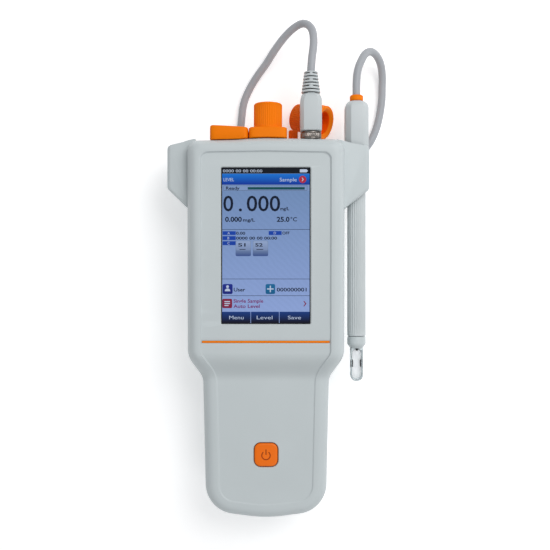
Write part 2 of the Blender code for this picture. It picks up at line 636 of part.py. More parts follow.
# ---- probe --------------------------------------------------------------------------
def build_probe():
    """Cable ring, handle, shaft, end collar, open guard, its two electrodes and thermistor."""
    group = make_empty("probe_group", (PROBE_X, SEAT_Y, PROBE_Z), METER)
    axis = (PROBE_X, 0, PROBE_Z)

    def turned(name, profile, finish, sides=22):
        return placed(name, turned_mesh(profile, axis, 'Y', sides), finish)

    def placed(name, bm, finish):
        obj = add_mesh(name, bm, finish, origin=tuple(group.location / MM))
        obj.parent = group
        obj.location = (0, 0, 0)
        return obj

    turned("probe_cable_ring", [(0, 129.5), (4.3, 129.5), (4.3, 133.1), (0, 133.1)], CAP_ORANGE)
    outline = rounded_square((0, 0), HANDLE_HALF, 3.6, 4)

    def ring(y, scale):
        return [Vector((PROBE_X + p.x * scale, y, PROBE_Z + p.y * scale)) for p in outline]

    rings = [ring(SEAT_Y, 1.0), ring(124.6, 1.0), ring(126.9, 0.93), ring(128.6, 0.78), ring(129.2, 0.62)]
    placed("probe_handle", loft_mesh(rings), PROBE_GREY)
    turned("probe_shaft", [(0, -20.3), (SHAFT_R, -20.3), (SHAFT_R, SEAT_Y - GAP), (0, SEAT_Y - GAP)], PROBE_GREY)
    collar = [(0, -29.4), (3.9, -29.4), (4.6, -28.4), (SHAFT_R, -26.2), (SHAFT_R, -20.6), (0, -20.6)]
    turned("probe_collar", collar, PROBE_GREY)
    top, tip = -29.7, PROBE_TIP_Y
    outer = fillet([(PROBE_X - 4.15, top, 0.8), (PROBE_X + 4.15, top, 0.8),
                    (PROBE_X + 4.15, tip, 4.1), (PROBE_X - 4.15, tip, 4.1)], [3, 3, 7, 7])
    inner = fillet([(PROBE_X - 2.8, top - 1.4, 2.0), (PROBE_X + 2.8, top - 1.4, 2.0),
                    (PROBE_X + 2.8, tip + 1.9, 2.75), (PROBE_X - 2.8, tip + 1.9, 2.75)], [3, 3, 7, 7])
    depth = 3.0
    sides = [(outer, -depth), (outer, depth), (inner, depth), (inner, -depth), (outer, -depth)]
    rings = [[Vector((p.x, p.y, PROBE_Z + z)) for p in points] for points, z in sides]
    placed("probe_guard", loft_mesh(rings, closed_ends=False), CLEAR)
    for side, name in ((-1, "electrode_left"), (1, "electrode_right")):
        x = sorted((PROBE_X + side * 2.5, PROBE_X + side * 1.7))
        placed(name, box_mesh(x, (-40.2, -35.4), (PROBE_Z - 1.8, PROBE_Z + 1.8), 0.2, 1), ELECTRODE)
    bead = [(0, -33.2), (0.7, -32.9), (0.9, -32.2), (0.9, -31.4), (0, -31.4)]
    turned("thermistor_tip", bead, ELECTRODE, 12)


def build_model():
    """Every piece of the meter and its probe."""
    build_front_shell()
    build_rear_shell()
    build_case_fittings()
    build_electronics()
    build_holder("holder_left", LEFT_OUT, LEFT_X, LEFT_SLEEVE_R, pocket=False)
    build_holder("holder_right", RIGHT_OUT, PROBE_X, SLEEVE_R, pocket=True)
    build_caps()
    build_sockets()
    build_plug()
    build_cable()
    build_probe()


build_model()
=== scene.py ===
"""Looks of the handheld conductivity meter and its stored probe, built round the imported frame."""
import math

import bmesh
import bpy
from mathutils import Matrix, Vector


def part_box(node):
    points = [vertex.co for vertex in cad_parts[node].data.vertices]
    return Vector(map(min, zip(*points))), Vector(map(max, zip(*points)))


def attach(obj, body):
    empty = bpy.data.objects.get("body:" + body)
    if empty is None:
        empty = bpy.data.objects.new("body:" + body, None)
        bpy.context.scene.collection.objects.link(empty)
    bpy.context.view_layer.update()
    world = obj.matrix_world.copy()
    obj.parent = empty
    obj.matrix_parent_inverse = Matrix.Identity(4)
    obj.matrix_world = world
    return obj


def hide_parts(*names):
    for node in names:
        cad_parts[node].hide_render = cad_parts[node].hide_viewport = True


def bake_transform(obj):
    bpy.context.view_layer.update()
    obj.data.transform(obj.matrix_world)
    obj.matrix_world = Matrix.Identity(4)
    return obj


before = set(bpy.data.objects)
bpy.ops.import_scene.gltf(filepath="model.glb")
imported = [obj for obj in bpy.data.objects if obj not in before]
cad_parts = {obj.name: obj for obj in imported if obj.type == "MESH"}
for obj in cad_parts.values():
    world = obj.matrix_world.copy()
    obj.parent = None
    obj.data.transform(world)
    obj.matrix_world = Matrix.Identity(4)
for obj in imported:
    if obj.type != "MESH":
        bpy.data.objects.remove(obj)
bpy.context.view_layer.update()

# Shapes are worked out in millimetres from the case's centreline, then moved and scaled once.
MM = 0.001
SHELL_LOW, SHELL_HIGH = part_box("front_shell")
CX = (SHELL_LOW.x + SHELL_HIGH.x) / 2 / MM     # the case's centreline


def span(node):
    """Lowest and highest corner of a CAD node, in millimetres from the centreline."""
    low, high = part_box(node)
    shift = Vector((CX, 0, 0))
    return low / MM - shift, high / MM - shift


FRONT_LOW, FRONT_HIGH = span("front_shell")
GLASS_LOW, GLASS_HIGH = span("touch_glass")
BUTTON_LOW, BUTTON_HIGH = span("power_button")
BOOT_LOW, BOOT_HIGH = span("plug_boot")
RELIEF_LOW, RELIEF_HIGH = span("strain_relief")
NUT_LOW, NUT_HIGH = span("plug_nut")
COIL_LOW, COIL_HIGH = span("cable_coil")
SHAFT_LOW, SHAFT_HIGH = span("probe_shaft")
HANDLE_LOW, HANDLE_HIGH = span("probe_handle")
RING_LOW, RING_HIGH = span("probe_cable_ring")

HEAD_HALF = (FRONT_HIGH.x - FRONT_LOW.x) / 2
HEAD_FRONT_Z = FRONT_HIGH.z
PLUG_X = (BOOT_LOW.x + BOOT_HIGH.x) / 2
PLUG_Z = (BOOT_LOW.z + BOOT_HIGH.z) / 2
PROBE_X = (SHAFT_LOW.x + SHAFT_HIGH.x) / 2
PROBE_Z = (SHAFT_LOW.z + SHAFT_HIGH.z) / 2
CABLE_R = 2.5


def stand(name, data):
    """A new object in the scene."""
    obj = bpy.data.objects.new(name, data)
    bpy.context.scene.collection.objects.link(obj)
    return obj


def centre_of(node):
    """Middle and half size of a CAD node's box, in millimetres from the centreline."""
    low, high = span(node)
    return [(a + b) / 2 for a, b in zip(low, high)], [(b - a) / 2 for a, b in zip(low, high)]


# ---- camera and light ---------------------------------------------------------------
FLOOR_HALF, FLOOR_Z = 6.0, -0.0002      # in metres; just below what stands on it
FRAME_COLUMNS = 550
SCREEN_SCALE = 0.61          # millimetres across one of the frame's columns, at the display
CAMERA_RISE = 500.0          # height of the camera above the display
CAMERA_SPOT = (CX + 5.6, 18.5)


def set_camera():
    """A camera straight above the meter, where the photographer stood."""
    data = bpy.data.cameras.new("camera")
    data.sensor_width = 36.0
    data.lens = data.sensor_width * CAMERA_RISE / (FRAME_COLUMNS * SCREEN_SCALE)
    data.clip_end = 20.0
    camera = stand("camera", data)
    camera.location = Vector((*CAMERA_SPOT, GLASS_HIGH.z + CAMERA_RISE)) * MM
    bpy.context.scene.camera = camera


def area_light(name, place, size, power):
    """A square soft light that points from `place`, in millimetres, to the frame's origin."""
    data = bpy.data.lights.new(name, 'AREA')
    data.shape = 'SQUARE'
    data.size = size * MM
    data.energy = power
    light = stand(name, data)
    light.location = Vector(place) * MM
    light.rotation_euler = (-Vector(place)).to_track_quat('-Z', 'Y').to_euler()


def set_light():
    """White surroundings, a broad soft light from the upper right and weaker ones that fill in."""
    scene = bpy.context.scene
    scene.view_settings.view_transform = 'Standard'
    world = bpy.data.worlds.new("studio")
    scene.world = world
    world.use_nodes = True
    feed(world, world.node_tree.nodes["Background"], {"Color": (0.96, 0.975, 1.0, 1.0), "Strength": 0.38})
    area_light("key_light", (420, 500, 840), 760, 6.1)
    area_light("fill_light", (-500, 500, 900), 900, 0.6)
    area_light("foot_light", (300, -620, 780), 700, 1.8)


def set_floor():
    """A pale floor that runs out of sight."""
    bm = bmesh.new()
    bmesh.ops.create_grid(bm, x_segments=1, y_segments=1, size=FLOOR_HALF)
    mesh = bpy.data.meshes.new("floor")
    bm.to_mesh(mesh)
    bm.free()
    mat, shader = new_material("floor_white")
    feed(mat, shader, {"Base Color": (0.98, 0.98, 0.98, 1.0), "Roughness": 0.8,
                       "Emission Color": (1.0, 1.0, 1.0, 1.0), "Emission Strength": 0.30})
    mesh.materials.append(mat)
    floor = stand("floor", mesh)
    floor.location.z = FLOOR_Z


# ---- mesh helpers -------------------------------------------------------------------
def in_metres(name, bm):
    """A mesh in the frame's place and scale from one built in millimetres."""
    bmesh.ops.translate(bm, verts=bm.verts, vec=(CX, 0, 0))
    bmesh.ops.scale(bm, verts=bm.verts, vec=(MM, MM, MM))
    mesh = bpy.data.meshes.new(name)
    bm.to_mesh(mesh)
    bm.free()
    return mesh


def publish(name, bm, mat, body="root", stands_for=(), smooth=40.0, flat=False):
    """Make an object from a mesh built in millimetres and let it ride a body."""
    bmesh.ops.remove_doubles(bm, verts=bm.verts, dist=1e-4)
    bm.normal_update()
    if flat:
        upside_down = [f for f in bm.faces if f.normal.z < 0]
        bmesh.ops.reverse_faces(bm, faces=upside_down)
    else:
        bmesh.ops.recalc_face_normals(bm, faces=bm.faces)
    mesh = in_metres(name, bm)
    mesh.shade_smooth()
    mesh.set_sharp_from_angle(angle=math.radians(smooth))
    mesh.materials.append(mat)
    obj = stand(name, mesh)
    if body:
        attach(obj, body)
    if stands_for:
        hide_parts(*stands_for)
    return obj


def joined(pieces):
    """One bmesh out of several."""
    whole = bmesh.new()
    for bm in pieces:
        mesh = bpy.data.meshes.new("joined")
        bm.to_mesh(mesh)
        bm.free()
        whole.from_mesh(mesh)
        bpy.data.meshes.remove(mesh)
    return whole


def bridge(bm, loops):
    """Join each loop of corners to the next; a loop of one corner is a point."""
    count = max(len(loop) for loop in loops)
    for low, high in zip(loops, loops[1:]):
        for i in range(count):
            j = (i + 1) % count
            corners = [low[i % len(low)], low[j % len(low)], high[j % len(high)], high[i % len(high)]]
            distinct = list(dict.fromkeys(corners))
            if len(distinct) > 2:
                bm.faces.new(distinct)


def loft(rings, wrap=False):
    """Skin a list of rings that all have the same number of points."""
    bm = bmesh.new()
    loops = [[bm.verts.new(point) for point in ring] for ring in rings]
    bridge(bm, loops + loops[:1] if wrap else loops)
    if not wrap:
        bm.faces.new(loops[0])
        bm.faces.new(loops[-1])
    return bm


AXES = {'Y': (Vector((0, 0, 1)), Vector((1, 0, 0)), Vector((0, 1, 0))),
        'Z': (Vector((1, 0, 0)), Vector((0, 1, 0)), Vector((0, 0, 1)))}


def turned(profile, centre, axis='Y', sides=48, ripple=None):
    """Turn (radius, height) points about an axis; `ripple(angle, height)` scales the radius."""
    across, up, along = AXES[axis]
    bm = bmesh.new()
    rings = []
    for radius, height in profile:
        middle = Vector(centre) + along * height
        if radius == 0:
            rings.append([bm.verts.new(middle)])
            continue
        ring = []
        for i in range(sides):
            turn = 2 * math.pi * i / sides
            reach = radius * (ripple(turn, height) if ripple else 1.0)
            ring.append(bm.verts.new(middle + across * reach * math.cos(turn) + up * reach * math.sin(turn)))
        rings.append(ring)
    if len(rings[0]) > 1:
        rings.append(rings[0])
    bridge(bm, rings)
    return bm


def arc_steps(start, end, count):
    """Evenly spaced angles in radians from `start` to `end` degrees."""
    return [math.radians(start + (end - start) * k / count) for k in range(count + 1)]


def quarter(radius, count):
    """How far steps round an edge stand back from its two faces, from (0, radius) to (radius, 0)."""
    return [(radius * (1 - math.cos(a)), radius * (1 - math.sin(a))) for a in arc_steps(0, 90, count)]


def fillet(corners, arcs, straights=None):
    """Round a closed outline of (x, y, radius) corners; straight runs may be divided up."""
    points = []
    count = len(corners)
    ends = []
    for i, (x, y, radius) in enumerate(corners):
        here = Vector((x, y))
        before = (Vector(corners[i - 1][:2]) - here).normalized()
        after = (Vector(corners[(i + 1) % count][:2]) - here).normalized()
        half = before.angle(after) / 2
        reach = radius / math.tan(half)
        middle = here + (before + after).normalized() * (radius / math.sin(half))
        first = here + before * reach - middle
        last = here + after * reach - middle
        begin = math.atan2(first.y, first.x)
        turn = (math.atan2(last.y, last.x) - begin + math.pi) % (2 * math.pi) - math.pi
        run = []
        for k in range(arcs[i] + 1):
            angle = begin + turn * k / arcs[i]
            run.append(middle + radius * Vector((math.cos(angle), math.sin(angle))))
        ends.append(run)
    for i, run in enumerate(ends):
        points += run
        if straights:
            a, b = run[-1], ends[(i + 1) % count][0]
            points += [a.lerp(b, k / straights[i]) for k in range(1, straights[i])]
    return points


def rounded_rect(x, y, half_x, half_y, radius, segments=8):
    """Outline of a rectangle with rounded corners."""
    corners = [(x + a * half_x, y + b * half_y, radius) for a, b in ((-1, 1), (1, 1), (1, -1), (-1, -1))]
    return fillet(corners, [segments] * 4)


def chamfered_square(half, cut, soft):
    """Outline of a square whose corners are cut at 45 degrees, every edge slightly softened."""
    inner = half - cut
    corners = [(-inner, half), (inner, half), (half, inner), (half, -inner),
               (inner, -half), (-inner, -half), (-half, -inner), (-half, inner)]
    return fillet([(x, y, soft) for x, y in corners], [3] * 8)


def prism(outline, low, high, along='Z'):
    """An outline drawn out between two heights, or along Y between two lengths."""
    if along == 'Z':
        return loft([[Vector((p.x, p.y, z)) for p in outline] for z in (low, high)])
    return loft([[Vector((p.x, y, p.y)) for p in outline] for y in (low, high)])


def slab(x, y, half_x, half_y, rounding, segments, levels, base=0.0, follow=0.0):
    """A rounded rectangle through (inset, height) levels above a base.

    `follow` is the share of the inset that its rounding takes.
    """
    rings = []
    for inset, height in levels:
        outline = rounded_rect(x, y, half_x - inset, half_y - inset, rounding - follow * inset, segments)
        rings.append([Vector((p.x, p.y, base + height)) for p in outline])
    return loft(rings)


def post(x, z, half, levels, soft):
    """A square pillar along Y with cut corners, through (y, inset, cut) levels."""
    rings = []
    for y, inset, cut in levels:
        outline = chamfered_square(half - inset, cut, soft)
        rings.append([Vector((x + p.x, y, z + p.y)) for p in outline])
    return loft(rings)


def carve(obj, cutters):
    """Take shapes, built in millimetres, away from an object and keep the result."""
    made = []
    for bm in cutters:
        bmesh.ops.recalc_face_normals(bm, faces=bm.faces)
        cutter = stand("cutter", in_metres("cutter", bm))
        made.append(cutter)
        step = obj.modifiers.new("cut", 'BOOLEAN')
        step.operation = 'DIFFERENCE'
        step.solver = 'EXACT'
        step.object = cutter
    bpy.context.view_layer.update()
    graph = bpy.context.evaluated_depsgraph_get()
    result = bpy.data.meshes.new_from_object(obj.evaluated_get(graph))
    obj.modifiers.clear()
    obj.data = result
    result.shade_smooth()
    result.set_sharp_from_angle(angle=math.radians(32))
    for cutter in made:
        bpy.data.objects.remove(cutter, do_unlink=True)


def new_material(name):
    """A material and its main shader node."""
    mat = bpy.data.materials.new(name)
    mat.use_nodes = True
    return mat, mat.node_tree.nodes["Principled BSDF"]


def feed(mat, node, inputs):
    """Set a node's inputs; one that is given another node's output is linked to it."""
    for name, value in inputs.items():
        if isinstance(value, bpy.types.NodeSocket):
            mat.node_tree.links.new(value, node.inputs[name])
        else:
            node.inputs[name].default_value = value


def add_node(mat, kind, output, inputs, **settings):
    """A new shader node with its settings and inputs; gives back one of its outputs."""
    node = mat.node_tree.nodes.new("ShaderNode" + kind)
    for name, value in settings.items():
        setattr(node, name, value)
    feed(mat, node, inputs)
    return node.outputs[output]


def object_place(mat):
    """Where a point lies on the object."""
    return add_node(mat, "TexCoord", "Object", {})


def colour_ramp(mat, factor, low, high, stops=(0.0, 1.0), blend='LINEAR'):
    """Run from one colour to another between two stops of a factor."""
    colour = add_node(mat, "ValToRGB", "Color", {"Fac": factor})
    ramp = colour.node.color_ramp
    ramp.interpolation = blend
    for k, rgb in enumerate((low, high)):
        ramp.elements[k].position = stops[k]
        ramp.elements[k].color = (*rgb, 1)
    return colour


def surface(name, rgb, rough, grain, grain_size, mottle, metal=0.0, edge_highlight_and_wear=0.0, edge_highlight_and_wear_rgb=None, coat=0.0,
            rough_swing=0.08, shine=0.5):
    """A moulded or metal surface: mottled colour, uneven gloss, fine grain and edges painted lighter, a painted
    highlight together with wear.
    """
    mat, shader = new_material(name)
    place = object_place(mat)
    broad = add_node(mat, "TexNoise", "Fac", {"Scale": 38.0, "Detail": 5.0, "Vector": place})
    pale = [min(c * (1 + mottle), 1) for c in rgb]
    colour = colour_ramp(mat, broad, [c * (1 - mottle) for c in rgb], pale, (0.3, 0.7))
    # Convex edges, picked out by pointiness, are painted a lighter colour: a painted highlight along the edges,
    # together with wear.
    if edge_highlight_and_wear:
        shape = add_node(mat, "NewGeometry", "Pointiness", {})
        edge = colour_ramp(mat, shape, (0, 0, 0), (edge_highlight_and_wear, edge_highlight_and_wear, edge_highlight_and_wear), (0.52, 0.62))
        lit_and_worn_rgb = edge_highlight_and_wear_rgb or [min(c * 1.3, 1) for c in rgb]
        colour = add_node(mat, "MixRGB", "Color", {"Fac": edge, "Color1": colour, "Color2": (*lit_and_worn_rgb, 1)})
    gloss = add_node(mat, "MapRange", "Result", {"To Min": max(rough - rough_swing, 0.02),
                                                 "To Max": min(rough + rough_swing, 1.0), "Value": broad})
    feed(mat, shader, {"Metallic": metal, "Coat Weight": coat, "Specular IOR Level": shine,
                       "Base Color": colour, "Roughness": gloss})
    if grain:
        fine = add_node(mat, "TexNoise", "Fac", {"Scale": 1000.0 / grain_size, "Detail": 2.0, "Vector": place})
        bump = add_node(mat, "Bump", "Normal", {"Strength": grain, "Distance": 0.00004, "Height": fine})
        feed(mat, shader, {"Normal": bump})
    return mat


# name, colour, roughness, grain and its size in millimetres, mottling
# Materials given an edge share have their edges painted lighter: a painted highlight together with wear.
CASE = surface("case_plastic", (0.55, 0.60, 0.61), 0.5, 0.35, 0.35, 0.012, edge_highlight_and_wear=0.2)
CAP = surface("cap_rubber", (0.92, 0.205, 0.0), 0.55, 0.3, 0.5, 0.03, edge_highlight_and_wear=0.2,
              edge_highlight_and_wear_rgb=(1.0, 0.30, 0.0), shine=0.12)
# The opened cap's body and its strap take a darker, redder copy of the cap rubber: painted shade.
SHADED_CAP_RUBBER = surface("open_cap_shaded_rubber", (0.84, 0.15, 0.003), 0.6, 0.3, 0.5, 0.08, shine=0.2)
# The inside of the opened cap is painted a brighter red-orange than its rubber: a painted pool of light in the
# hollow.
HOLLOW_LIGHT = surface("open_cap_lit_hollow", (1.0, 0.11, 0.0), 0.7, 0.3, 0.5, 0.12, shine=0.1)
BUTTON = surface("button_plastic", (0.90, 0.165, 0.0), 0.38, 0.2, 0.3, 0.03, edge_highlight_and_wear=0.25,
                 edge_highlight_and_wear_rgb=(1.0, 0.30, 0.03), shine=0.3)
# The power mark's fill is dark brown: painted shade in the engraved groove.
MARK_SHADE = surface("button_mark_shade", (0.34, 0.05, 0.002), 0.6, 0.0, 0.4, 0.08, shine=0.2)
CABLE = surface("cable_jacket", (0.385, 0.40, 0.425), 0.5, 0.25, 0.8, 0.03)
BOOT = surface("boot_plastic", (0.54, 0.58, 0.59), 0.5, 0.3, 0.35, 0.02, edge_highlight_and_wear=0.2)
# The strain relief's core is near-black: painted shade in the slots between its ribs.
SLOT_SHADE = surface("relief_shade_core", (0.035, 0.037, 0.04), 0.6, 0.2, 0.35, 0.05)
SHAFT = surface("probe_plastic", (0.56, 0.60, 0.61), 0.42, 0.2, 0.3, 0.02, edge_highlight_and_wear=0.15)
SMOOTH = surface("collar_plastic", (0.56, 0.61, 0.62), 0.36, 0.1, 0.3, 0.02)
BLACK = surface("black_rubber", (0.022, 0.022, 0.024), 0.7, 0.5, 0.5, 0.2)
NICKEL = surface("nickel_plate", (0.34, 0.31, 0.285), 0.34, 0.15, 0.4, 0.08, metal=1.0)
STEEL = surface("screw_steel", (0.45, 0.45, 0.46), 0.35, 0.2, 0.3, 0.1, metal=1.0)
PLATINUM = surface("electrode_black", (0.006, 0.006, 0.008), 0.8, 0.8, 0.15, 0.3)
PANE = surface("display_glass", (0.004, 0.005, 0.008), 0.12, 0.05, 2.0, 0.3, rough_swing=0.05,
               shine=0.3)


# ---- cable and its coil -------------------------------------------------------------
TURN_OUTER, TURN_INNER = 30.6, 25.4            # two turns side by side
TURN_LOW, TURN_HIGH = 3.2, 8.3                 # and two layers
COIL_X, COIL_Y = (COIL_LOW.x + COIL_HIGH.x) / 2, (COIL_LOW.y + COIL_HIGH.y) / 2
PLUG_LINE = [
    (PLUG_X, RELIEF_HIGH.y, PLUG_Z), (28.8, 155.0, 35.6), (29.9, 164.0, 33.8), (29.6, 172.4, 30.6),
    (27.3, 177.8, 27.0), (23.0, 180.2, 23.2), (17.3, 178.0, 19.6), (11.0, 172.8, 15.4), (4.9, 165.6, 11.2),
    (-0.2, 158.4, 7.4), (-6.1, 151.0, 4.6), (-11.3, 142.8, 3.0), (-15.2, 133.4, 2.6), (-16.8, 122.0, 2.6),
    (-18.2, 108.0, 2.6), (-21.4, 92.0, 2.6), (-27.0, 75.4, 2.6), (-30.4, 57.6, 2.9), (-30.6, 46.0, 3.2),
]
PROBE_LINE = [
    (30.6, 46.0, 8.3), (30.7, 52.0, 7.8), (31.2, 59.0, 5.6), (33.2, 68.4, 3.3), (38.0, 78.2, 2.6),
    (45.6, 86.4, 2.6), (54.8, 93.2, 2.6), (63.0, 99.8, 2.6), (69.0, 107.0, 2.6), (73.0, 115.6, 2.6),
    (75.4, 124.8, 2.8), (76.8, 134.9, 3.5), (77.0, 142.4, 3.8), (77.0, 149.9, 5.0), (75.7, 157.0, 8.2),
    (72.6, 162.0, 12.4), (68.2, 163.9, 16.8), (64.0, 161.4, 21.0), (60.8, 155.7, 24.6), (58.4, 149.0, 26.5),
    (PROBE_X, 141.2, PROBE_Z), (PROBE_X, RING_HIGH.y + 0.1, PROBE_Z),
]


def ease(value, start, end):
    """A smooth step from 0 to 1 between two values."""
    t = min(max((value - start) / (end - start), 0.0), 1.0)
    return t * t * (3 - 2 * t)


def coil_line():
    """Three and a half turns: out and in on the ground, then in and out on top."""
    points = []
    for step in range(85):
        angle = 180 + 15 * step
        inward = ease(angle, 480, 540) - ease(angle, 1080, 1135)
        radius = TURN_OUTER + (TURN_INNER - TURN_OUTER) * inward
        height = TURN_LOW + (TURN_HIGH - TURN_LOW) * ease(angle, 780, 845)
        turn = math.radians(angle)
        points.append((COIL_X + radius * math.cos(turn), COIL_Y + radius * math.sin(turn), height))
    return points


def smooth_line(points, step):
    """Points at even steps along a Catmull-Rom curve through the given ones."""
    knots = [Vector(p) for p in points]
    knots = [2 * knots[0] - knots[1]] + knots + [2 * knots[-1] - knots[-2]]
    fine = []
    for a, b, c, d in zip(knots, knots[1:], knots[2:], knots[3:]):
        for k in range(12):
            t = k / 12
            fine.append(0.5 * (2 * b + (c - a) * t + (2 * a - 5 * b + 4 * c - d) * t ** 2
                               + (3 * b - a - 3 * c + d) * t ** 3))
    fine.append(knots[-2])
    run = [0.0]
    for a, b in zip(fine, fine[1:]):
        run.append(run[-1] + (b - a).length)
    count = round(run[-1] / step)
    evened = []
    at = 0
    for k in range(count + 1):
        want = run[-1] * k / count
        while at < len(run) - 2 and run[at + 1] < want:
            at += 1
        evened.append(fine[at].lerp(fine[at + 1], (want - run[at]) / (run[at + 1] - run[at])))
    return evened, run[-1]


def tube(line, radius, sides=16):
    """A round tube along a line, its rings turned as little as the line allows."""
    ways = [(b - a).normalized() for a, b in zip(line, line[1:])]
    ways.append(ways[-1])
    side = ways[0].orthogonal().normalized()
    rings = []
    for i, point in enumerate(line):
        way = (ways[i] + ways[max(i - 1, 0)]).normalized()
        side = (side - way * side.dot(way)).normalized()
        up = way.cross(side)
        rings.append([point + radius * (side * math.cos(a) + up * math.sin(a))
                      for a in (2 * math.pi * k / sides for k in range(sides))])
    return loft(rings)


def make_cord():
    """The cable from the plug, through its tied coil under the case, to the probe's handle."""
    line, length = smooth_line(PLUG_LINE + coil_line() + PROBE_LINE, 2.5)
    cord = publish("probe_cable", tube(line, CABLE_R), CABLE, None,
                   ("cable_plug_side", "cable_probe_side", "cable_probe_loop", "cable_coil"))
    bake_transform(cord)
    outline = rounded_rect(0, 0, 5.9, 5.7, 3.0, 5)
    half, thick = 4.5, 0.6
    band = []
    middle = Vector((COIL_X, COIL_Y - (TURN_OUTER + TURN_INNER) / 2, (TURN_LOW + TURN_HIGH) / 2))
    for out, across in ((0.0, -half), (0.5, -half), (thick, -4.3), (thick, 4.3), (0.5, half), (0.0, half)):
        grow = 1 + (out - thick) / 6
        band.append([middle + Vector((across, p.x * grow, p.y * grow)) for p in outline])
    tie = publish("coil_tie", loft(band, wrap=True), BLACK)
    return cord, line, length, tie


# ---- plug ---------------------------------------------------------------------------
RIBS = 7
RIB_SHARE = 0.62             # of the pitch from one rib to the next
RELIEF_WIDE, RELIEF_TAPER, SLOT_DEPTH = 6.0, 1.7, 1.9


def make_plug():
    """Knurled coupling nut, moulded boot and ribbed strain relief."""
    low, high, outer = NUT_LOW.y, NUT_HIGH.y, (NUT_HIGH.x - NUT_LOW.x) / 2

    rim = [(5.4, 0.0), (outer - 0.6, 0.0), (outer - 0.1, 0.4), (outer - 0.1, 0.7), (outer - 0.5, 0.9),
           (outer, 1.2)]
    profile = [(r, low + inwards) for r, inwards in rim] + [(r, high - inwards) for r, inwards in reversed(rim)]

    def knurl(turn, height):
        if low + 1.1 < height < high - 1.1:
            return 1 - 0.045 * (0.5 + 0.5 * math.cos(36 * turn))
        return 1.0

    axis = (PLUG_X, 0, PLUG_Z)
    nut = publish("plug_nut_knurled", turned(profile, axis, 'Y', 216, knurl), NICKEL, "plug_nut", ("plug_nut",))
    start, end = BOOT_LOW.y, BOOT_HIGH.y
    levels = [(start, 0.7, 2.1), (start + 0.25, 0.2, 2.1), (start + 0.7, 0.0, 2.1), (end - 5.2, 0.0, 2.1),
              (end - 3.8, 0.15, 2.4), (end - 2.4, 0.5, 2.8), (end - 1.3, 1.0, 3.0), (end - 0.5, 1.7, 3.0),
              (end, 2.6, 2.6)]
    boot = publish("plug_boot_moulded", post(PLUG_X, PLUG_Z, (BOOT_HIGH.x - BOOT_LOW.x) / 2, levels, 0.35),
                   BOOT, "root", ("plug_boot",))
    start, end = RELIEF_LOW.y, RELIEF_HIGH.y
    pitch = (end - start) / (RIBS - 0.6)
    profile = [(0, start)]
    slots = []
    for i in range(RIBS):
        y = start + i * pitch
        rib_end = min(y + pitch * RIB_SHARE, end)
        wide = RELIEF_WIDE - RELIEF_TAPER * (y - start) / (end - start)
        narrow = RELIEF_WIDE - RELIEF_TAPER * (rib_end - start) / (end - start)
        profile += [(wide - 0.2, y), (wide, y + 0.2), (narrow, rib_end - 0.2), (narrow - 0.2, rib_end)]
        if i < RIBS - 1:
            profile += [(narrow - SLOT_DEPTH, rib_end + 0.02), (narrow - SLOT_DEPTH, y + pitch - 0.02)]
            slots.append((rib_end + 0.01, y + pitch - 0.01, i % 2, narrow))
    profile.append((0, end))

    def bridges(turn, height):
        for low_y, high_y, odd, wide in slots:
            if low_y < height < high_y:
                at = math.degrees(turn) % 180
                near = 1 - ease(min(at, 180 - at) if odd else abs(at - 90), 13, 17)
                return 1 + (wide - 0.3) / (wide - SLOT_DEPTH) * 0.999 * near - near
        return 1.0

    relief = publish("strain_relief_ribbed", turned(profile, axis, 'Y', 144, bridges), BOOT, "root",
                     ("strain_relief",))
    # A near-black core shows in the slots: painted shade between the ribs.
    core = turned([(0, start + 0.5), (4.35, start + 0.5), (2.75, end - 0.5), (0, end - 0.5)], axis, 'Y', 48)
    publish("strain_relief_core", core, SLOT_SHADE)
    return [nut, boot, relief]



# ---- case ---------------------------------------------------------------------------
HEAD_BACK_Z, GRIP_BACK_Z, GRIP_FRONT_Z = 12.5, 5.0, 43.0
SLOPE_Y = (-47.0, -29.0)
SEAM_Z = 30.0
WALL = 2.2
RIM = 9.4
SINK = 1.2
PANEL_ROUND = 4.8            # least rounding of an outer corner, kept by the sunk panel
# Corners of the case's right half in plan, from the top middle down: x, y, rounding, segments.
CASE_CORNERS = [(0.0, 103.7, 160.0, 6), (48.75, 102.8, 7.0, 12), (48.45, -32.0, 16.0, 12),
                (39.4, -45.5, 12.0, 10), (37.5, -128.6, 19.0, 14), (0.0, -133.6, 90.0, 10)]
CASE_RUNS = [5, 44, 5, 28, 4]
SCREEN_HALF_X, SCREEN_HALF_Y, SCREEN_Y = 27.0, 47.55, 36.4
STRIP_Y = -22.3
BUTTON_Y, BUTTON_HALF, BUTTON_ROUND, BUTTON_GAP = -93.0, 7.2, 3.9, 0.45
SCREWS = [(side * 37.0, y) for y in (72.0, -14.0) for side in (-1, 1)] + [(-27.0, -62.0), (27.0, -62.0)]
HATCH_HALF, HATCH_Y = 19.0, (-118.0, -58.0)
FLAT_CAP_X, KNOB_CAP_X, SENSOR_X = -22.9, 1.2, 1.6
SOCKET_Z = 36.0              # height of the sockets in the end wall
SOCKET_R = 5.5
KEY_WELL = (33.0, 41.9, 42.55, 48.0)    # heights of the key's opening: floor, chamfer's foot and top, above
PANEL_Z = HEAD_FRONT_Z - SINK


def offset_corners(corners, inset):
    """Move every edge of a closed clockwise outline inwards and keep its roundings."""
    moved = []
    count = len(corners)
    for i, (x, y, radius, segments) in enumerate(corners):
        here = Vector((x, y))
        before = (here - Vector(corners[i - 1][:2])).normalized()
        after = (Vector(corners[(i + 1) % count][:2]) - here).normalized()
        normal_a = Vector((before.y, -before.x))
        normal_b = Vector((after.y, -after.x))
        bisector = (normal_a + normal_b).normalized()
        spot = here + bisector * (inset / bisector.dot(normal_a))
        convex = before.x * after.y - before.y * after.x < 0
        rounding = max(radius - inset, PANEL_ROUND) if convex else radius + inset
        moved.append((spot.x, spot.y, rounding, segments))
    return moved



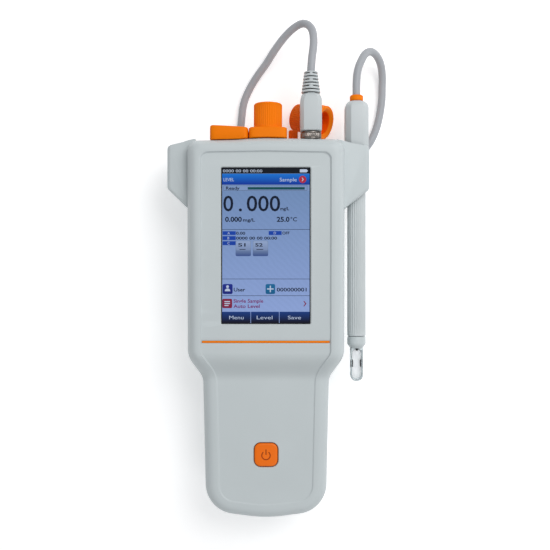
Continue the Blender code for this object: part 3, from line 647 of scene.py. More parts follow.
def case_outline(inset):
    """The case's plan outline, from the top middle clockwise, drawn in by `inset`."""
    mirrored = [(-x, y, r, n) for x, y, r, n in reversed(CASE_CORNERS[1:-1])]
    corners = offset_corners(CASE_CORNERS + mirrored, inset)
    points = fillet([c[:3] for c in corners], [c[3] for c in corners], CASE_RUNS + CASE_RUNS[::-1])
    start = CASE_CORNERS[0][3] // 2
    return points[start:] + points[:start]


def surface_z(y, head, grip):
    """Height of the face, easing from the handle's value to the head's along the slope."""
    return grip + (head - grip) * ease(y, *SLOPE_Y)


def top_wave(x, y, inset):
    """The end wall dips a little on the left; the sunk panel stops a little lower."""
    near = ease(y, 84, 98)
    dip = 0.36 * (math.tanh((x + 12) / 5) - 1) * (1 - ease(inset, 3, 7))
    return near * (dip - 0.4 - 0.4 * ease(inset, 6.5, 8.0))


def shell(levels, head, grip, seam, sink_at):
    """A dished shell from (inset, share of the height, drop) levels, closed by strips across."""
    bm = bmesh.new()
    loops = []
    for inset, share, drop in levels:
        ring = []
        for p in case_outline(inset):
            height = seam + share * (surface_z(p.y, head, grip) - seam) - drop * sink_at(p.y, inset)
            ring.append(bm.verts.new((p.x, p.y + top_wave(p.x, p.y, inset), height)))
        loops.append(ring)
    bridge(bm, loops)
    count = len(loops[0])
    for ring in (loops[0], loops[-1]):
        for i in range(count // 2):
            strip = [ring[i], ring[i + 1], ring[-i - 1], ring[-i % count]]
            bm.faces.new(list(dict.fromkeys(strip)))
    return bm


def front_sink(y, inset):
    """How much of the full step the sunk panel keeps: all of it on the head, less on the handle."""
    if inset < 8:
        return 1.0
    return 0.5 + 0.5 * ease(y, -44, -30) - 0.3 * (1 - ease(y, -128, -112))


def make_front():
    """Upper case half: rounded rim, sunk panel, chamfered window, strip groove, button and socket holes."""
    inner = [(6.0, 1.0, 3.9), (WALL + 0.2, 0.62, 0.0), (WALL, 0.0, 0.0), (0.35, 0.0, 0.0), (0.0, 0.02, 0.0)]
    outer = [(6.4 * (1 - math.cos(a)), 0.52 + 0.48 * math.sin(a), 0.0) for a in arc_steps(0, 90, 9)]
    step = [(8.3, 1.0, 0.0), (8.6, 1.0, 0.06), (8.8, 1.0, 0.25), (9.1, 1.0, 0.95), (9.35, 1.0, 1.15),
            (9.8, 1.0, SINK)]
    bm = shell(inner + outer + step, HEAD_FRONT_Z, GRIP_FRONT_Z, SEAM_Z + 0.15, front_sink)
    case = publish("front_case", bm, CASE, "root", ("front_shell",), smooth=32)
    window = slab(0, SCREEN_Y, SCREEN_HALF_X, SCREEN_HALF_Y, 0.5, 3,
                  [(0.0, 30.0), (0.0, PANEL_Z - 0.75), (-0.9, PANEL_Z + 0.02), (-0.9, PANEL_Z + 4)], follow=1.0)
    groove = slab(0, STRIP_Y, HEAD_HALF - RIM - 0.2, 0.75, 0.3, 2,
                  [(0.0, -0.9), (0.0, -0.12), (-0.25, 0.02), (-0.25, 4)], PANEL_Z)
    around = BUTTON_HALF + BUTTON_GAP
    key = slab(0, BUTTON_Y, around, around, BUTTON_ROUND + BUTTON_GAP, 8,
               list(zip((0.0, 0.0, -0.55, -0.55), KEY_WELL)), follow=1.0)
    holes = [turned([(0, -20), (SOCKET_R, -20), (SOCKET_R, 20), (0, 20)], (x, 103.0, SOCKET_Z), 'Y', 40)
             for x in (PLUG_X, SENSOR_X)]
    holes.append(prism(rounded_rect(FLAT_CAP_X, SOCKET_Z, 5.0, 2.2, 1.2, 5), 90.0, 120.0, 'Y'))
    carve(case, [window, groove, key] + holes)


def make_back():
    """Lower case half with the hatch opening, screw wells and finger grooves beside the hatch."""
    outer = [(8.4 * (1 - math.cos(a)), 0.3 + 0.7 * math.sin(a), 0.0) for a in arc_steps(90, 0, 9)]
    inner = [(0.0, 0.02, 0.0), (0.35, 0.0, 0.0), (WALL, 0.0, 0.0), (WALL + 0.2, 0.4, 0.0), (6.6, 1.0, -2.3)]
    bm = shell(outer + inner, HEAD_BACK_Z, GRIP_BACK_Z, SEAM_Z - 0.15, lambda y, inset: 1.0)
    case = publish("rear_case", bm, CASE, "root", ("rear_shell",), smooth=32)
    cutters = [slab(0, sum(HATCH_Y) / 2, HATCH_HALF, 30.0, 1.4, 4,
                    [(-0.5, -5.0), (-0.5, 0.0), (0.0, 0.5), (0.0, 6.0)], GRIP_BACK_Z)]
    well = [(0, -4), (3.8, -4), (3.8, 0), (3.3, 0.5), (3.3, 1.4), (0, 1.4)]
    for x, y in SCREWS:
        cutters.append(turned(well, (x, y, surface_z(y, HEAD_BACK_Z, GRIP_BACK_Z)), 'Z', 32))
    for k in range(7):
        for side in (-1, 1):
            groove = rounded_rect(side * 25.5, -78.0 - 5.0 * k, 3.4, 0.9, 0.85, 4)
            cutters.append(prism(groove, 2.0, GRIP_BACK_Z + 0.7))
    carve(case, cutters)
    y_low, y_high = HATCH_Y[0] + 0.3, HATCH_Y[1] - 0.3
    plate = slab(0, (y_low + y_high) / 2, HATCH_HALF - 0.3, (y_high - y_low) / 2, 1.2, 4,
                 [(0.5, 0.0), (0.12, 0.15), (0.0, 0.5), (0.0, 1.7), (0.1, 1.8)], GRIP_BACK_Z)
    hatch = publish("battery_hatch_cover", plate, CASE, "battery_hatch", ("battery_hatch",))
    grooves = []
    for k in range(6):
        outline = rounded_rect(0, y_low + 5.0 + 2.2 * k, 9.0 - 0.6 * k, 0.55, 0.5, 4)
        grooves.append(prism(outline, 2.0, GRIP_BACK_Z + 0.6))
    carve(hatch, grooves)


def make_fittings():
    """Feet, cross-headed screws, accent strip and the power button."""
    for node, r in (("foot_head_left", 5.5), ("foot_head_right", 5.5), ("foot_grip_left", 4.5),
                    ("foot_grip_right", 4.5)):
        middle = centre_of(node)[0]
        top = span(node)[1].z
        profile = [(0, 0.35), (r * 0.45, 0.3), (r * 0.5, 0.0), (r - 1.3, 0.0), (r - 0.5, 0.25), (r - 0.1, 0.9),
                   (r, top * 0.45), (r - 0.25, top * 0.5), (r, top * 0.55), (r, top), (0, top)]
        publish(node + "_pad", turned(profile, (*middle[:2], 0), 'Z', 48), BLACK, "root", (node,))
    profile = [(0, 0.0), (1.2, 0.02), (2.2, 0.12), (2.7, 0.35), (2.8, 0.6), (2.8, 0.9), (0, 0.9)]
    for i in range(1, 7):
        node = f"case_screw_{i}"
        (x, y, _), foot = centre_of(node)[0], span(node)[0].z
        screw = publish(f"screw_head_{i}", turned(profile, (x, y, foot), 'Z', 32), STEEL, "root", (node,))
        carve(screw, [prism(rounded_rect(x, y, half_x, half_y, 0.15, 2), foot - 1, foot + 0.5)
                      for half_x, half_y in ((1.7, 0.38), (0.38, 1.7))])
    low, high = span("accent_strip")
    strip = slab(0, STRIP_Y, high.x + 0.55, (high.y - low.y) / 2, 0.35, 3,
                 [(0.0, low.z), (0.0, high.z - 0.15), (0.08, high.z - 0.04), (0.2, high.z)])
    publish("orange_strip", strip, CAP, "root", ("accent_strip",))
    top = BUTTON_HIGH.z
    levels = [(0.25, BUTTON_LOW.z), (0.0, BUTTON_LOW.z + 0.2), (0.0, top - 0.9), (0.1, top - 0.55),
              (0.35, top - 0.28), (0.75, top - 0.12), (1.5, top - 0.06), (3.0, top - 0.02), (4.6, top)]
    key = slab(0, BUTTON_Y, BUTTON_HALF, BUTTON_HALF, BUTTON_ROUND, 8, levels, follow=0.6)
    button = publish("power_key", key, BUTTON, "power_button", ("power_button",))
    carve(button, [power_arc(2.25, 2.95, top - 0.35, top + 1.0), power_bar(0.36, top - 0.35, top + 1.0)])
    # The groove is filled with a dark brown piece: painted shade in the engraving.
    inlay = joined([power_arc(2.28, 2.92, top - 0.33, top - 0.14), power_bar(0.33, top - 0.33, top - 0.14)])
    publish("power_mark", inlay, MARK_SHADE, "power_button")


def power_arc(inner, outer, low, high):
    """Three quarters of a ring, open at the top."""
    angles = arc_steps(90 + 38, 450 - 38, 36)
    outline = [Vector((outer * math.cos(a), outer * math.sin(a))) for a in angles]
    outline += [Vector((inner * math.cos(a), inner * math.sin(a))) for a in reversed(angles)]
    bm = bmesh.new()
    floors = [[bm.verts.new((p.x, BUTTON_Y - 0.3 + p.y, z)) for p in outline] for z in (low, high)]
    bridge(bm, floors)
    for ring in floors:
        for i in range(len(outline) // 2 - 1):
            bm.faces.new((ring[i], ring[i + 1], ring[-i - 2], ring[-i - 1]))
    return bm


def power_bar(half, low, high):
    """The upright stroke in the opening of the power mark."""
    return prism(rounded_rect(0, BUTTON_Y + 1.75, half, 1.75, 0.3, 3), low, high)


# ---- holders ------------------------------------------------------------------------
BORE_Y = (40, 120)           # the bore is cut through both ends of the sleeve


def make_holder(name, node, sleeve_x, sleeve_r, pocket, lift=0.0):
    """A moulded sleeve on the case's side: slanted ends, soft edges, a bore and an open-backed seat."""
    low, high = span(node)
    side = math.copysign(1, sleeve_x)
    outer, inner = (high.x, low.x) if side > 0 else (low.x, high.x)
    corners = [(inner - side * 5.5, high.y + 1.1, 0.6), (outer, high.y - 3.2, 2.8),
               (outer, low.y + 12.2, 3.2), (inner, low.y, 0.6)]
    if side < 0:
        corners.reverse()
    outline = fillet(corners, [2, 8, 8, 2], [8, 8, 8, 8])

    def ring(draw, z):
        points = []
        for p in outline:
            share = ease(abs(p.x), abs(inner) + 0.2, abs(inner) + 4.5)
            points.append(Vector((p.x - side * draw * share, p.y, z)))
        return points

    curve = quarter(2.6, 6)
    rings = [ring(inset, low.z + rise) for rise, inset in curve]
    rings += [ring(inset, high.z + lift - drop) for inset, drop in curve]
    holder = publish(name, loft(rings), CASE, "root", (node,))
    cutters = [turned([(0, BORE_Y[0]), (sleeve_r, BORE_Y[0]), (sleeve_r, BORE_Y[1]), (0, BORE_Y[1])],
                      (sleeve_x, 0, PROBE_Z), 'Y', 48)]
    if pocket:
        half = (HANDLE_HIGH.x - HANDLE_LOW.x) / 2
        seat = rounded_rect(PROBE_X + 10, PROBE_Z - 6.0, half + 10.4, 14.0, 1.5, 4)
        cutters.append(prism(seat, HANDLE_LOW.y - 0.4, BORE_Y[1], 'Y'))
    carve(holder, cutters)


# ---- rubber caps --------------------------------------------------------------------
END_WALL_Y = 104.0
WALL_FALL = 0.0185           # how far the end wall falls back per millimetre from the middle
CAP_HALF, CAP_HALF_Z, CAP_BASE, CAP_KNOB, CAP_KNOB_R, CAP_HOLLOW_R = 11.9, 10.2, 5.9, 15.9, 8.9, 7.2
FLUTES, FLUTE_DEPTH = 42, 0.035


def fluting(count, depth, low, high):
    """Ripple for `turned` that cuts rounded flutes between two heights."""
    def ripple(turn, height):
        if low < height < high:
            return 1 - depth * (0.5 - 0.5 * math.cos(count * turn)) ** 0.6
        return 1.0
    return ripple


def knob_profile(base, top, radius):
    """Outside of a fluted knob from its base fillet to its rounded rim."""
    points = [(radius + 1.0, base), (radius + 0.35, base + 0.15), (radius + 0.05, base + 0.5)]
    points += [(radius, base + rise) for rise in (1.0, 1.2, 1.6)]
    points += [(radius, base + 2.0 + (top - base - 4.2) * k / 6) for k in range(7)]
    points += [(radius, top - 1.7), (radius, top - 1.5)]
    return points + [(radius - inwards, top - down) for inwards, down in quarter(1.3, 5)]


def wall_y(x):
    """Where the case's end wall stands below a cap."""
    return CASE_CORNERS[0][1] - WALL_FALL * abs(x) + top_wave(x, END_WALL_Y, 0.0)


def cap_base(x, slope):
    """The rounded-square block of a cap, hollow at its mouth and cut to the end wall's curve.

    `slope` lifts its left end.
    """
    mouth = END_WALL_Y
    count = 72
    squareness = 0.28

    def squared(value):
        return math.copysign(abs(value) ** squareness, value)

    def ring(inset, y):
        points = []
        for a in (2 * math.pi * i / count for i in range(count)):
            px = (CAP_HALF - inset) * squared(math.cos(a))
            pz = (CAP_HALF_Z - inset) * squared(math.sin(a))
            lift = slope * (0.5 - 0.5 * px / CAP_HALF) * (y - mouth) / CAP_BASE
            settle = (wall_y(x + px) + 0.15 - mouth) * (1 - ease(y, mouth, mouth + 1.5))
            points.append(Vector((x + px, y + lift + settle, SOCKET_Z + pz)))
        return points

    rings = [ring(2.4, mouth + 3.8), ring(2.4, mouth), ring(0.4, mouth), ring(0.0, mouth + 0.35)]
    rings += [ring(inset, mouth + CAP_BASE - down) for inset, down in quarter(1.1, 6)]
    return loft(rings)


def make_caps():
    """Closed flat cap, closed knob cap, opened cap behind the plug, and their strips."""
    mouth = END_WALL_Y
    axis = (KNOB_CAP_X, 0, SOCKET_Z)
    publish("flat_cap_block", cap_base(FLAT_CAP_X, 1.3), CAP, "flat_cap", ("flat_cap",))
    block = cap_base(KNOB_CAP_X, 0.0)
    base, top = mouth + CAP_BASE - 0.2, mouth + CAP_BASE + CAP_KNOB
    profile = [(0, base - 0.6), (CAP_KNOB_R + 0.6, base - 0.6)] + knob_profile(base, top, CAP_KNOB_R)
    profile += [(CAP_KNOB_R * 0.5, top + 0.05), (0, top - 0.15)]
    knob = turned(profile, axis, 'Y', 252, fluting(FLUTES, FLUTE_DEPTH, base + 1.1, top - 1.4))
    bore = [(0, mouth - 2), (CAP_HOLLOW_R, mouth - 2), (CAP_HOLLOW_R, top - 2.4), (0, top - 2.4)]
    cap = publish("knob_cap_block", block, CAP, "knob_cap", ("knob_cap",))
    carve(cap, [turned(bore, axis, 'Y', 48)])
    grip = publish("knob_cap_grip", knob, CAP, "knob_cap")
    carve(grip, [turned(bore, axis, 'Y', 48)])
    # The strap takes the darker copy of the cap rubber: painted shade.
    for node, mat, edge, rounding in (("cap_tether", CAP, 0.3, 0.6), ("flip_cap_strap", SHADED_CAP_RUBBER, 0.4, 1.2)):
        (x, y, _), (half_x, half_y, _) = centre_of(node)
        low, high = span(node)
        strip = slab(x, y, half_x, half_y, rounding, 4,
                     [(edge, low.z), (0.0, low.z + edge), (0.0, high.z - edge), (edge, high.z)])
        publish(node + "_strip", strip, mat, "root", (node,))
    make_open_cap()


def make_open_cap():
    """The opened cap, lying on its side with its mouth to the upper right."""
    axis = Vector((-0.83, 0.26, -0.49)).normalized()
    mouth = Vector((38.4, 116.8, 19.4))
    aim = Matrix.Translation(mouth) @ Vector((0, 0, 1)).rotation_difference(axis).to_matrix().to_4x4()
    base, end, rim, hollow = 5.9, 23.0, 11.0, CAP_HOLLOW_R

    def lay(name, profile, sides, mat, ripple=None, stands_for=()):
        bm = turned(profile, (0, 0, 0), 'Z', sides, ripple)
        bmesh.ops.transform(bm, matrix=aim, verts=bm.verts)
        publish(name, bm, mat, "flip_cap", stands_for)

    lip = [(hollow, 2.2), (hollow + 0.5, 1.2), (hollow + 1.6, 0.5), (rim - 1.6, 0.05)]
    lip += [(rim - 1.1 + 1.1 * math.sin(a), 1.1 - 1.1 * math.cos(a)) for a in arc_steps(0, 90, 5)]
    lip += [(rim - 1.0 + 1.0 * math.cos(a), base - 1.0 + 1.0 * math.sin(a)) for a in arc_steps(0, 90, 5)]
    lay("open_cap_rim", lip + [(hollow, base)], 96, CAP, None, ("flip_cap",))
    # Painted light: the hollow's inside is drawn brighter than the cap's rubber.
    lay("open_cap_lit_hollow", [(0, end - 2.5), (hollow - 0.9, end - 2.5), (hollow - 0.1, end - 3.3),
                            (hollow - 0.1, 1.6), (hollow + 0.1, 1.6), (hollow + 0.1, end - 3.0),
                            (hollow - 0.8, end - 2.3), (0, end - 2.3)], 72, HOLLOW_LIGHT)
    inside = [(0, end - 2.4), (hollow - 0.1, end - 2.4), (hollow - 0.1, base - 0.2)]
    # The cap's body is drawn in the darker copy of its rubber, painted shade; its rim keeps the cap's own
    # orange.
    lay("open_cap_grip", inside + knob_profile(base - 0.2, end, CAP_KNOB_R) + [(0, end - 0.1)], 252, SHADED_CAP_RUBBER,
        fluting(FLUTES, FLUTE_DEPTH, base + 0.9, end - 1.4))


# ---- probe --------------------------------------------------------------------------
def make_probe():
    """Cable ring, faceted handle, fluted shaft, smooth collar and clear open guard."""
    axis = (PROBE_X, 0, PROBE_Z)
    low, high, radius = RING_LOW.y, RING_HIGH.y, (RING_HIGH.x - RING_LOW.x) / 2
    profile = [(2.6, low), (radius - 0.4, low), (radius - 0.1, low + 0.15), (radius, low + 0.5),
               (radius, high - 0.9), (radius - 0.2, high - 0.35), (radius - 0.7, high), (2.6, high)]
    publish("probe_ring", turned(profile, axis, 'Y', 64), CAP, "probe", ("probe_cable_ring",))
    low, high = HANDLE_LOW.y, HANDLE_HIGH.y
    levels = [(low, 0.7, 3.4), (low + 0.2, 0.2, 3.4), (low + 0.7, 0.0, 3.4), (high - 4.4, 0.0, 3.4),
              (high - 3.4, 0.15, 3.4), (high - 2.4, 0.5, 3.5), (high - 1.5, 1.05, 3.5), (high - 0.8, 1.7, 3.3),
              (high - 0.3, 2.4, 2.9), (high, 3.1, 2.4)]
    handle = post(PROBE_X, PROBE_Z, (HANDLE_HIGH.x - HANDLE_LOW.x) / 2, levels, 0.6)
    publish("probe_grip", handle, SHAFT, "probe", ("probe_handle",))
    low, high, radius = SHAFT_LOW.y, SHAFT_HIGH.y, (SHAFT_HIGH.x - SHAFT_LOW.x) / 2
    flute_low, flute_high = low + 1.2, high - 4.0
    profile = [(0, low), (radius - 0.4, low), (radius - 0.05, low + 0.3), (radius, low + 0.8),
               (radius, low + 1.1)]
    profile += [(radius, flute_low + 0.5 + (flute_high - flute_low - 1.0) * k / 24) for k in range(25)]
    profile += [(radius, flute_high + 0.2), (radius, high), (0, high)]
    shaft = turned(profile, axis, 'Y', 216, fluting(27, 0.055, flute_low, flute_high))
    publish("probe_stem", shaft, SHAFT, "probe", ("probe_shaft",))
    low, high = span("probe_collar")
    top, foot = high.y, low.y + 1.3
    profile = [(0, foot), (3.7, foot), (3.95, foot + 0.12), (4.2, foot + 0.45), (4.6, foot + 1.0),
               (5.15, foot + 1.7), (5.6, foot + 2.4), (5.85, foot + 3.0), (radius, foot + 3.8),
               (radius, top - 0.6), (radius - 0.1, top - 0.25), (radius - 0.4, top), (0, top)]
    publish("probe_end_collar", turned(profile, axis, 'Y', 96), SMOOTH, "probe", ("probe_collar",))
    make_guard(foot)


def make_guard(foot):
    """The clear frame beyond the collar's foot, its web, two black electrodes and a thermistor bead."""
    low, high = span("probe_guard")
    half, tip, deep = (high.x - low.x) / 2, low.y, (high.z - low.z) / 2
    window_top, window_tip = foot - 0.9, tip + 1.9
    top = foot + 0.6
    rings = []
    for a in arc_steps(0, 360, 20)[:-1]:
        across, up = 0.5 + 0.5 * math.cos(a), math.sin(a)
        x = half - 1.35 + 1.35 * across
        y_top = window_top + (top - window_top) * across
        y_tip = window_tip + (tip - window_tip) * across
        round_tip = min(x - 0.05, 4.1)
        round_top = 2.6 - 1.7 * across
        corners = [(-x, y_top, round_top), (x, y_top, round_top), (x, y_tip, round_tip), (-x, y_tip, round_tip)]
        outline = fillet(corners, [6, 6, 12, 12], [4, 10, 1, 10])
        squeeze = math.copysign(abs(up) ** 0.6, up)
        rings.append([Vector((PROBE_X + p.x, p.y, PROBE_Z + deep * squeeze)) for p in outline])
    publish("probe_clear_guard", loft(rings, wrap=True), CLEAR, "probe", ("probe_guard",))
    middle, reach = (window_top + window_tip) / 2, (window_top - window_tip) / 2
    web = slab(PROBE_X, middle, half - 1.2, reach + 0.2, 2.5, 8,
               [(0.2, -1.9), (0.0, -1.75), (0.0, -1.45), (0.2, -1.3)], PROBE_Z, 1.0)
    publish("probe_guard_web", web, WEB, "probe")
    bead = [(0, foot - 1.5), (0.45, foot - 1.4), (0.75, foot - 1.1), (0.8, foot - 0.7), (0.8, foot + 0.5),
            (0, foot + 0.5)]
    publish("thermistor_bead", turned(bead, (PROBE_X, 0, PROBE_Z + 2.6), 'Y', 32), PLATINUM, "probe",
            ("thermistor_tip",))
    for side, node in ((-1, "electrode_left"), (1, "electrode_right")):
        plate = slab(PROBE_X + side * (half - 1.55), centre_of(node)[0][1], 0.32, 2.3, 0.3, 3,
                     [(0.12, -1.2), (0.0, -1.05), (0.0, 1.05), (0.12, 1.2)], PROBE_Z, 1.0)
        publish(node + "_plate", plate, PLATINUM, "probe", (node,))


# ---- display ------------------------------------------------------------------------
# Places on the display are (across, down) in millimetres from the lit area's upper left corner.
LIT_W, LIT_L = 53.9, 95.0
LIT_TOP = SCREEN_Y + LIT_L / 2
LAYER = 0.03                 # height of one drawn layer over the one below
BOLD = 0.06                  # how far strokes of the dark figures are fattened
LEFT, RIGHT = 0.35, 53.6     # the sides of the drawn field
GLOW = 0.95                  # brightness of the lit patches


def screen_material(name, top_rgb, foot_rgb, down_from, down_to, bands=0.0):
    """A lit patch whose colour runs down the display, with fine cells and faint slanting bands."""
    mat, shader = new_material(name)
    place = object_place(mat)
    height = add_node(mat, "SeparateXYZ", "Y", {"Vector": place})
    run = add_node(mat, "MapRange", "Result", {"From Min": (LIT_TOP - down_from) * MM,
                                               "From Max": (LIT_TOP - down_to) * MM, "Value": height})
    colour = colour_ramp(mat, run, top_rgb, foot_rgb)
    for direction, scale, distortion, share in (('X', 1700.0, 0.0, 0.05), ('DIAGONAL', 150.0, 4.0, bands)):
        if not share:
            continue
        wave = add_node(mat, "TexWave", "Fac", {"Scale": scale, "Distortion": distortion, "Detail": 1.0,
                                                "Vector": place}, bands_direction=direction)
        dim = add_node(mat, "MapRange", "Result", {"To Min": 1 - share, "To Max": 1 + share, "Value": wave})
        colour = add_node(mat, "VectorMath", "Vector", {0: colour, "Scale": dim}, operation='SCALE')
    dust = add_node(mat, "TexNoise", "Fac", {"Scale": 60.0, "Detail": 4.0, "Vector": place})
    gloss = add_node(mat, "MapRange", "Result", {"To Min": 0.12, "To Max": 0.28, "Value": dust})
    feed(mat, shader, {"Roughness": gloss, "Emission Color": colour, "Base Color": (0.01, 0.01, 0.012, 1),
                       "Specular IOR Level": 0.06, "Emission Strength": GLOW})
    return mat


def patch(outline, layer):
    """A flat face from a closed outline of (across, down) points."""
    bm = bmesh.new()
    height = GLASS_HIGH.z + layer * LAYER
    bm.faces.new([bm.verts.new((across - LIT_W / 2, LIT_TOP - down, height)) for across, down in outline])
    bm.normal_update()
    return bm


def bar(u0, v0, u1, v1, layer, rounding=0.0):
    """A flat rectangle on the display, its corners rounded if asked."""
    if not rounding:
        return patch([(u0, v0), (u1, v0), (u1, v1), (u0, v1)], layer)
    outline = rounded_rect((u0 + u1) / 2, (v0 + v1) / 2, (u1 - u0) / 2, (v1 - v0) / 2, rounding, 5)
    return patch([tuple(p) for p in outline], layer)


def disc(u, v, radius, layer, squash=1.0, start=0, end=360):
    """A flat disc, or the part of one between two angles."""
    angles = arc_steps(start, end, 28)
    if end - start == 360:
        angles = angles[:-1]
    return patch([(u + radius * math.cos(a), v + squash * radius * math.sin(a)) for a in angles], layer)


def word(text, u, v, height, layer, width=None, thick=0.0):
    """A word on the display: `u` is its left edge, `v` its middle, `height` that of a capital."""
    curve = bpy.data.curves.new("word", 'FONT')
    curve.body = text
    curve.size = height / 0.7
    curve.offset = thick
    curve.resolution_u = 3
    holder = bpy.data.objects.new("word", curve)
    bpy.context.scene.collection.objects.link(holder)
    bpy.context.view_layer.update()
    mesh = bpy.data.meshes.new_from_object(holder.evaluated_get(bpy.context.evaluated_depsgraph_get()))
    bm = bmesh.new()
    bm.from_mesh(mesh)
    bpy.data.objects.remove(holder, do_unlink=True)
    bpy.data.meshes.remove(mesh)
    left = min(p.co.x for p in bm.verts)
    right = max(p.co.x for p in bm.verts)
    stretch = width / (right - left) if width else 1.0
    spot = (u - LIT_W / 2, LIT_TOP - v - height / 2, GLASS_HIGH.z + layer * LAYER)
    for p in bm.verts:
        p.co = Vector(((p.co.x - left) * stretch + spot[0], p.co.y + spot[1], spot[2]))
    return bm


def arrow(u, v, size, layer):
    """A chevron that points right."""
    points = [(-0.5, -1.0), (-0.1, -1.0), (0.7, 0.0), (-0.1, 1.0), (-0.5, 1.0), (0.2, 0.0)]
    return patch([(u + size * a, v + size * b) for a, b in points], layer)


def person(u, v, size, layer):
    """A head and shoulders."""
    return [disc(u, v - 0.45 * size, 0.42 * size, layer),
            disc(u, v + 0.95 * size, 0.85 * size, layer, 1.0, 180, 360)]


def make_display():
    """Dark glass with the reading, its rows, tags, keys and marks drawn as lit patches."""
    low, high = GLASS_LOW, GLASS_HIGH
    pane = slab(0, SCREEN_Y, high.x, (high.y - low.y) / 2, 0.6, 4,
                [(0.1, low.z), (0.0, low.z + 0.1), (0.0, high.z - 0.15), (0.12, high.z)])
    publish("display_pane", pane, PANE, "root", ("touch_glass",))

    def put(name, look, pieces):
        publish("display_" + name, joined(pieces), SCREEN[look], flat=True)

    def bars(*rows):
        return [bar(*row) for row in rows]

    put("field", "field", bars((LEFT, 3.5, RIGHT, 94.7, 1, 0.3)))
    put("status", "black", bars((LEFT, 0.3, RIGHT, 3.5, 1)))
    put("header", "header", bars((LEFT, 3.7, RIGHT, 10.3, 2)))
    put("row", "pale", bars((LEFT, 10.5, RIGHT, 14.1, 2), (1.3, 11.0, 15.4, 13.7, 3, 0.3)))
    put("level", "green", bars((15.9, 11.8, 50.7, 13.3, 4)))
    put("lines", "navy", [bar(LEFT, down, RIGHT, down + 0.25, 2) for down in (37.5, 67.7, 77.9)])
    put("keys", "keys", [bar(left, 87.8, right, 94.7, 2, 0.3)
                         for left, right in ((LEFT, 17.6), (17.9, 35.0), (35.3, RIGHT))])
    put("tags", "tag", bars((0.6, 38.7, 8.6, 41.0, 2), (0.6, 41.7, 8.6, 44.1, 2), (0.6, 44.8, 8.6, 47.2, 2),
                            (28.7, 38.6, 36.6, 41.0, 2)))
    put("buttons", "slate", bars((8.5, 44.4, 17.9, 53.9, 2, 0.9), (19.0, 44.4, 28.4, 53.9, 2, 0.9)))
    put("buttons_shine", "shine", bars((8.9, 44.8, 17.5, 50.4, 3, 0.7), (19.4, 44.8, 28.0, 50.4, 3, 0.7)))
    put("red", "red", [disc(49.4, 7.1, 2.25, 3), arrow(50.6, 82.9, 1.6, 3),
                       bar(0.4, 79.9, 6.4, 85.6, 2, 0.8)])
    put("teal", "teal", bars((26.8, 70.9, 32.6, 77.0, 2, 0.9)))
    put("indigo", "indigo", bars((0.6, 70.9, 6.7, 77.0, 2, 0.9)))
    # Each word: text, left edge, middle, height of a capital, layer, width. A dark one starts with its weight.
    white = [word("LEVEL", 1.2, 7.2, 2.0, 3, 6.4), word("Sample", 35.4, 7.2, 2.2, 3, 10.4)]
    white += [arrow(49.3, 7.1, 1.1, 4)]
    white += [word(*row) for row in (
        ("Menu", 4.6, 91.3, 2.2, 3, 8.8), ("Level", 21.4, 91.3, 2.2, 3, 9.6),
        ("Save", 40.4, 91.3, 2.2, 3, 8.0), ("A", 3.6, 39.85, 1.5, 3), ("B", 3.6, 42.9, 1.5, 3),
        ("C", 3.6, 46.0, 1.5, 3), ("D", 31.8, 39.8, 1.5, 3), ("0000 00 00 00:00", 0.8, 1.9, 1.7, 2, 24.0))]
    white += bars((47.7, 0.9, 52.0, 2.8, 2, 0.2), (52.0, 1.4, 52.5, 2.3, 2))
    white += person(3.6, 73.4, 2.0, 3)
    white += bars((29.35, 71.9, 30.05, 75.9, 3), (27.7, 73.55, 31.7, 74.25, 3))
    put("white", "white", white)
    dark = [word(*row, weight * BOLD) for weight, *row in (
        (1, "Ready", 2.6, 12.4, 1.9, 4, 8.4), (2, "0", 1.0, 21.7, 9.4, 2, 6.1),
        (2, ".", 10.5, 21.7, 9.4, 2, 1.9), (2, "000", 15.3, 21.7, 9.4, 2, 20.4),
        (1, "mg/L", 35.8, 24.9, 1.9, 2, 5.4),
        (2, "0.000", 2.1, 31.4, 2.9, 2, 10.2), (1, "mg/L", 13.0, 31.8, 1.9, 2, 7.4),
        (2, "25.0", 33.6, 31.4, 2.9, 2, 7.8), (1, "°C", 42.0, 31.4, 2.4, 2, 4.0),
        (1, "0.00", 8.8, 39.9, 1.7, 2, 5.6), (1, "0000 00 00 00:00", 8.8, 42.9, 1.7, 2, 25.0),
        (1, "OFF", 37.0, 39.8, 1.7, 2, 4.4), (1, "S1", 10.0, 47.0, 2.0, 4, 4.6),
        (1, "S2", 20.5, 47.0, 2.0, 4, 4.6))]
    dark += bars((10.9, 49.6, 14.6, 50.0, 4), (21.2, 49.6, 25.4, 50.0, 4))
    dark += [word("User", 7.4, 74.3, 2.2, 2, 7.0, BOLD), word("000000001", 33.6, 74.3, 2.2, 2, 18.2, BOLD)]
    dark += bars((1.2, 10.9, 52.2, 11.05, 3), (1.2, 13.75, 52.2, 13.9, 3), (1.2, 10.9, 1.35, 13.9, 3),
                 (52.05, 10.9, 52.2, 13.9, 3))
    put("navy", "navy", dark)
    put("maroon", "maroon", [word("Single Sample", 7.2, 81.2, 2.1, 2, 18.2, BOLD),
                             word("Auto Level", 7.2, 84.4, 2.1, 2, 16.0, BOLD)])
    put("list", "white", bars((1.7, 81.3, 5.1, 81.9, 3), (1.7, 82.5, 5.1, 83.1, 3), (1.7, 83.7, 4.2, 84.3, 3)))


